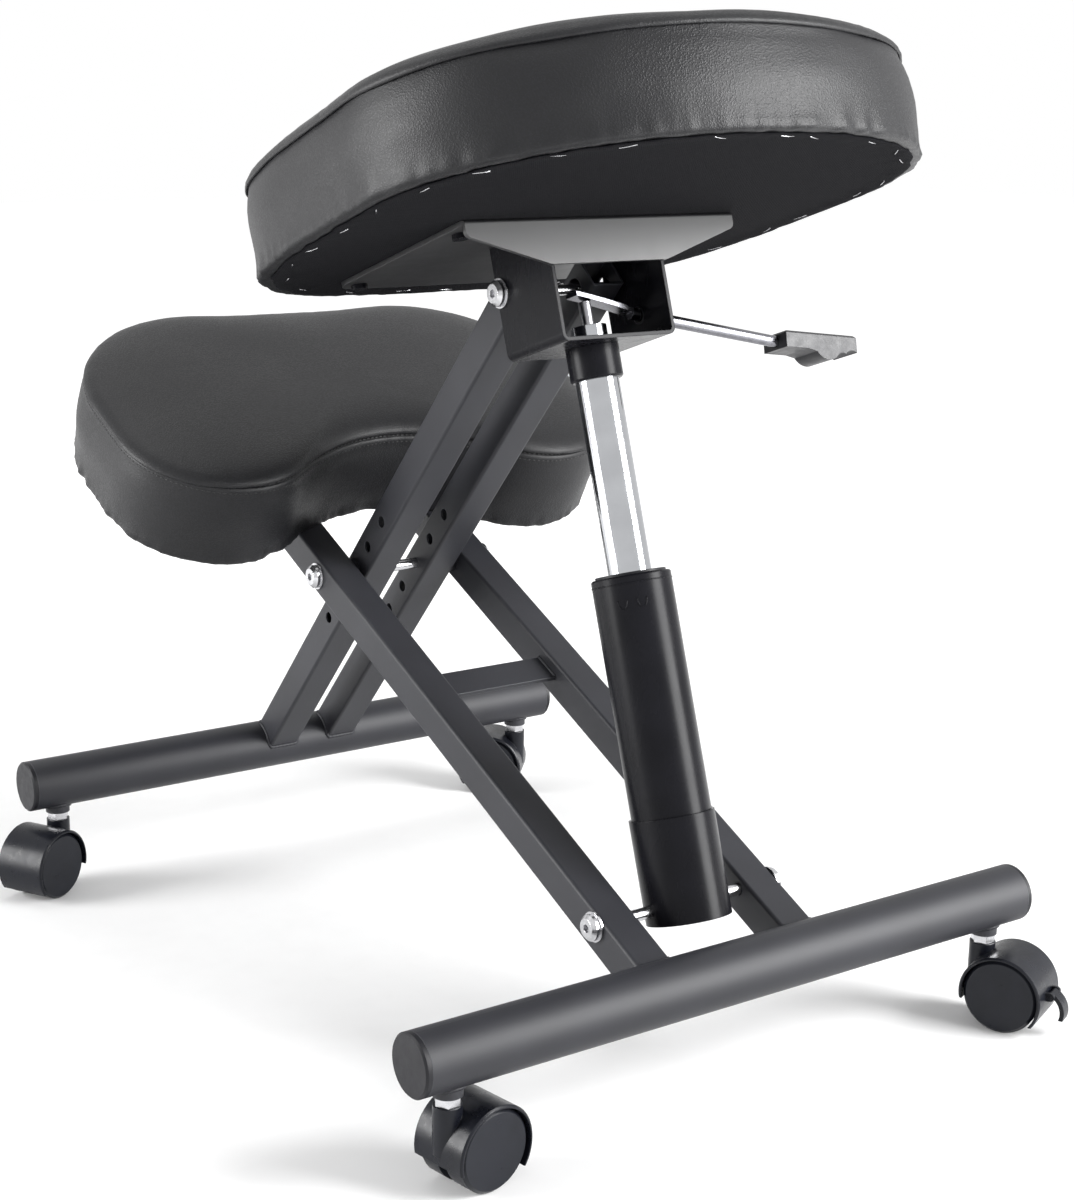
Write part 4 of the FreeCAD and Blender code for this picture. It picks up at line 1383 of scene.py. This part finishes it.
@dataclass
class ColumnMarks:
    """Rolled ring and crimp marks at the mouth of the gas lift's column."""

    origin: tuple[float, float, float] = (-6.8 * MM, 221.553 * MM, 108.917 * MM)
    lean: float = 18.4042
    radius: float = 25.6 * MM
    top: float = 209.0 * MM
    ring_drop: float = 5.0 * MM
    mark_drop: float = 16.0 * MM
    mark_turns: tuple[float, float] = (36.0, 64.0)
    mark_size: float = 3.0 * MM
    wire: float = 0.45 * MM

    def on_column(self, turn: float, height: float) -> tuple[float, float, float]:
        """Point on the column's skin, in the lift's frame."""
        return self.radius * math.cos(turn), self.radius * math.sin(turn), height

    def build(self) -> None:
        """Build the ring and the two marks."""
        place = Matrix.Translation(self.origin) @ Matrix.Rotation(math.radians(self.lean), 4, "X")
        ring = [self.on_column(t, self.top - self.ring_drop) for t in np.linspace(0.0, math.tau, 97)]
        lines = [ring]
        for turn in self.mark_turns:
            arc = []
            for t in np.linspace(math.radians(170), math.radians(370), 14):
                along = math.radians(turn) + self.mark_size * math.cos(t) / self.radius
                arc.append(self.on_column(along, self.top - self.mark_drop + 1.6 * self.mark_size * math.sin(t)))
            lines.append(arc)
        parts = []
        for line in lines:
            path = np.array([place @ Vector(p) for p in line])
            parts.append(tube_mesh(path, np.full(len(path), self.wire), 8))
        points, faces = joined(parts)
        mesh_piece("column_marks", points, faces, "gas_cylinder", Dress.ENAMEL)


# Studio


@dataclass(frozen=True)
class Lamp:
    """A soft rectangular lamp aimed at the chair, sizes in metres and power in watts."""

    name: str
    place: tuple[float, float, float]
    width: float
    height: float
    power: float
    aim: tuple[float, float, float] = (0.0, 0.0, 0.3)

    def build(self) -> None:
        """Add the lamp to the scene."""
        data = bpy.data.lights.new(self.name, "AREA")
        data.energy = self.power
        data.shape = "RECTANGLE"
        data.size = self.width
        data.size_y = self.height
        lamp = bpy.data.objects.new(self.name, data)
        lamp.location = self.place
        lamp.rotation_euler = (Vector(self.aim) - Vector(self.place)).to_track_quat("-Z", "Y").to_euler()
        bpy.context.scene.collection.objects.link(lamp)


@dataclass
class Studio:
    """Floor, world, lamps and camera."""

    lens: float = 63.056
    place: tuple[float, float, float] = (0.78126, 1.17985, 0.60709)
    turn: tuple[float, float, float] = (1.33020, -0.01377, 2.53470)
    daylight: float = 0.4
    floor_half: float = 9.0
    glow: tuple[float, float] = (0.0, 0.62)
    glow_reach: tuple[float, float] = (0.45, 1.6)
    lamps: tuple[Lamp, ...] = (
        Lamp("rear_right", (-1.5, 1.95, 1.15), 1.2, 2.0, 135.0),
        Lamp("left", (2.5, -1.0, 0.9), 1.2, 1.6, 85.0),
        Lamp("overhead", (0.3, -0.6, 3.0), 1.4, 1.4, 12.0),
    )

    def floor(self) -> bpy.types.Object:
        """A white floor that keeps the chair's shadow.

        Returns:
            The floor.
        """
        mesh = bpy.data.meshes.new("floor")
        half = self.floor_half
        mesh.from_pydata([(-half, -half, 0), (half, -half, 0), (half, half, 0), (-half, half, 0)], [], [(0, 1, 2, 3)])
        floor = bpy.data.objects.new("floor", mesh)
        bpy.context.scene.collection.objects.link(floor)
        g = Graph("studio_floor")
        speck = g.noise(g.place, 40.0)
        g.link(g.ramp(speck, [(0.3, (0.94, 0.94, 0.94)), (0.7, (0.96, 0.96, 0.96))]), g.shader, "Base Color")
        far = g.node("VectorMath", operation="LENGTH")
        g.link(g.place, far, 0)
        g.link(g.spread(far.outputs["Value"], *self.glow, *self.glow_reach), g.shader, "Emission Strength")
        g.set(Roughness=0.9, Specular_IOR_Level=0.05, Emission_Color=(1.0, 1.0, 1.0))
        mesh.materials.append(g.material)
        return floor

    def world(self) -> None:
        """White for the camera and for reflections, soft grey light on the chair."""
        world = bpy.data.worlds.new("studio")
        bpy.context.scene.world = world
        world.use_nodes = True
        tree = world.node_tree
        tree.nodes.clear()
        output = tree.nodes.new("ShaderNodeOutputWorld")
        light = tree.nodes.new("ShaderNodeBackground")
        light.inputs["Color"].default_value = (1.0, 1.0, 1.0, 1.0)
        light.inputs["Strength"].default_value = self.daylight
        white = tree.nodes.new("ShaderNodeBackground")
        white.inputs["Color"].default_value = (1.0, 1.0, 1.0, 1.0)
        white.inputs["Strength"].default_value = 1.0
        path = tree.nodes.new("ShaderNodeLightPath")
        seen = path.outputs["Is Camera Ray"]
        for other in ("Is Glossy Ray", "Is Transmission Ray"):
            either = tree.nodes.new("ShaderNodeMath")
            either.operation = "MAXIMUM"
            tree.links.new(seen, either.inputs[0])
            tree.links.new(path.outputs[other], either.inputs[1])
            seen = either.outputs[0]
        mix = tree.nodes.new("ShaderNodeMixShader")
        tree.links.new(seen, mix.inputs[0])
        tree.links.new(light.outputs[0], mix.inputs[1])
        tree.links.new(white.outputs[0], mix.inputs[2])
        tree.links.new(mix.outputs[0], output.inputs["Surface"])

    def camera(self) -> None:
        """The camera at the photographed viewpoint."""
        data = bpy.data.cameras.new("portrait")
        data.lens = self.lens
        data.sensor_width = 36.0
        data.sensor_fit = "AUTO"
        data.clip_end = 50.0
        camera = bpy.data.objects.new("portrait", data)
        camera.matrix_world = Matrix.Translation(Vector(self.place)) @ Euler(self.turn).to_matrix().to_4x4()
        bpy.context.scene.collection.objects.link(camera)
        bpy.context.scene.camera = camera

    def build(self) -> None:
        """Set up the whole studio."""
        self.floor()
        self.world()
        for lamp in self.lamps:
            lamp.build()
        self.camera()
        bpy.context.scene.view_settings.view_transform = "Standard"


def main() -> None:
    """Build the chair's pieces in order, then the studio."""
    logging.basicConfig(level=logging.INFO, format="%(name)s %(message)s")
    Steelwork().build()
    Welds().build()
    ColumnMarks().build()
    SeatPad("seat", "seat_unit", "seat_top", "seat_cushion", "seat_bottom_cloth", 63.0 * MM, 14.0 * MM, 0.973,
            seed=3.0).build()
    KneePad("knee", "frame", "knee_top", "knee_cushion", "knee_bottom_cloth", 66.0 * MM, 13.0 * MM, 0.967,
            lap=0.78 * MM, seed=7.0, second_line=5.5 * MM).build()
    Studio().build()


if __name__ == "__main__":
    main()
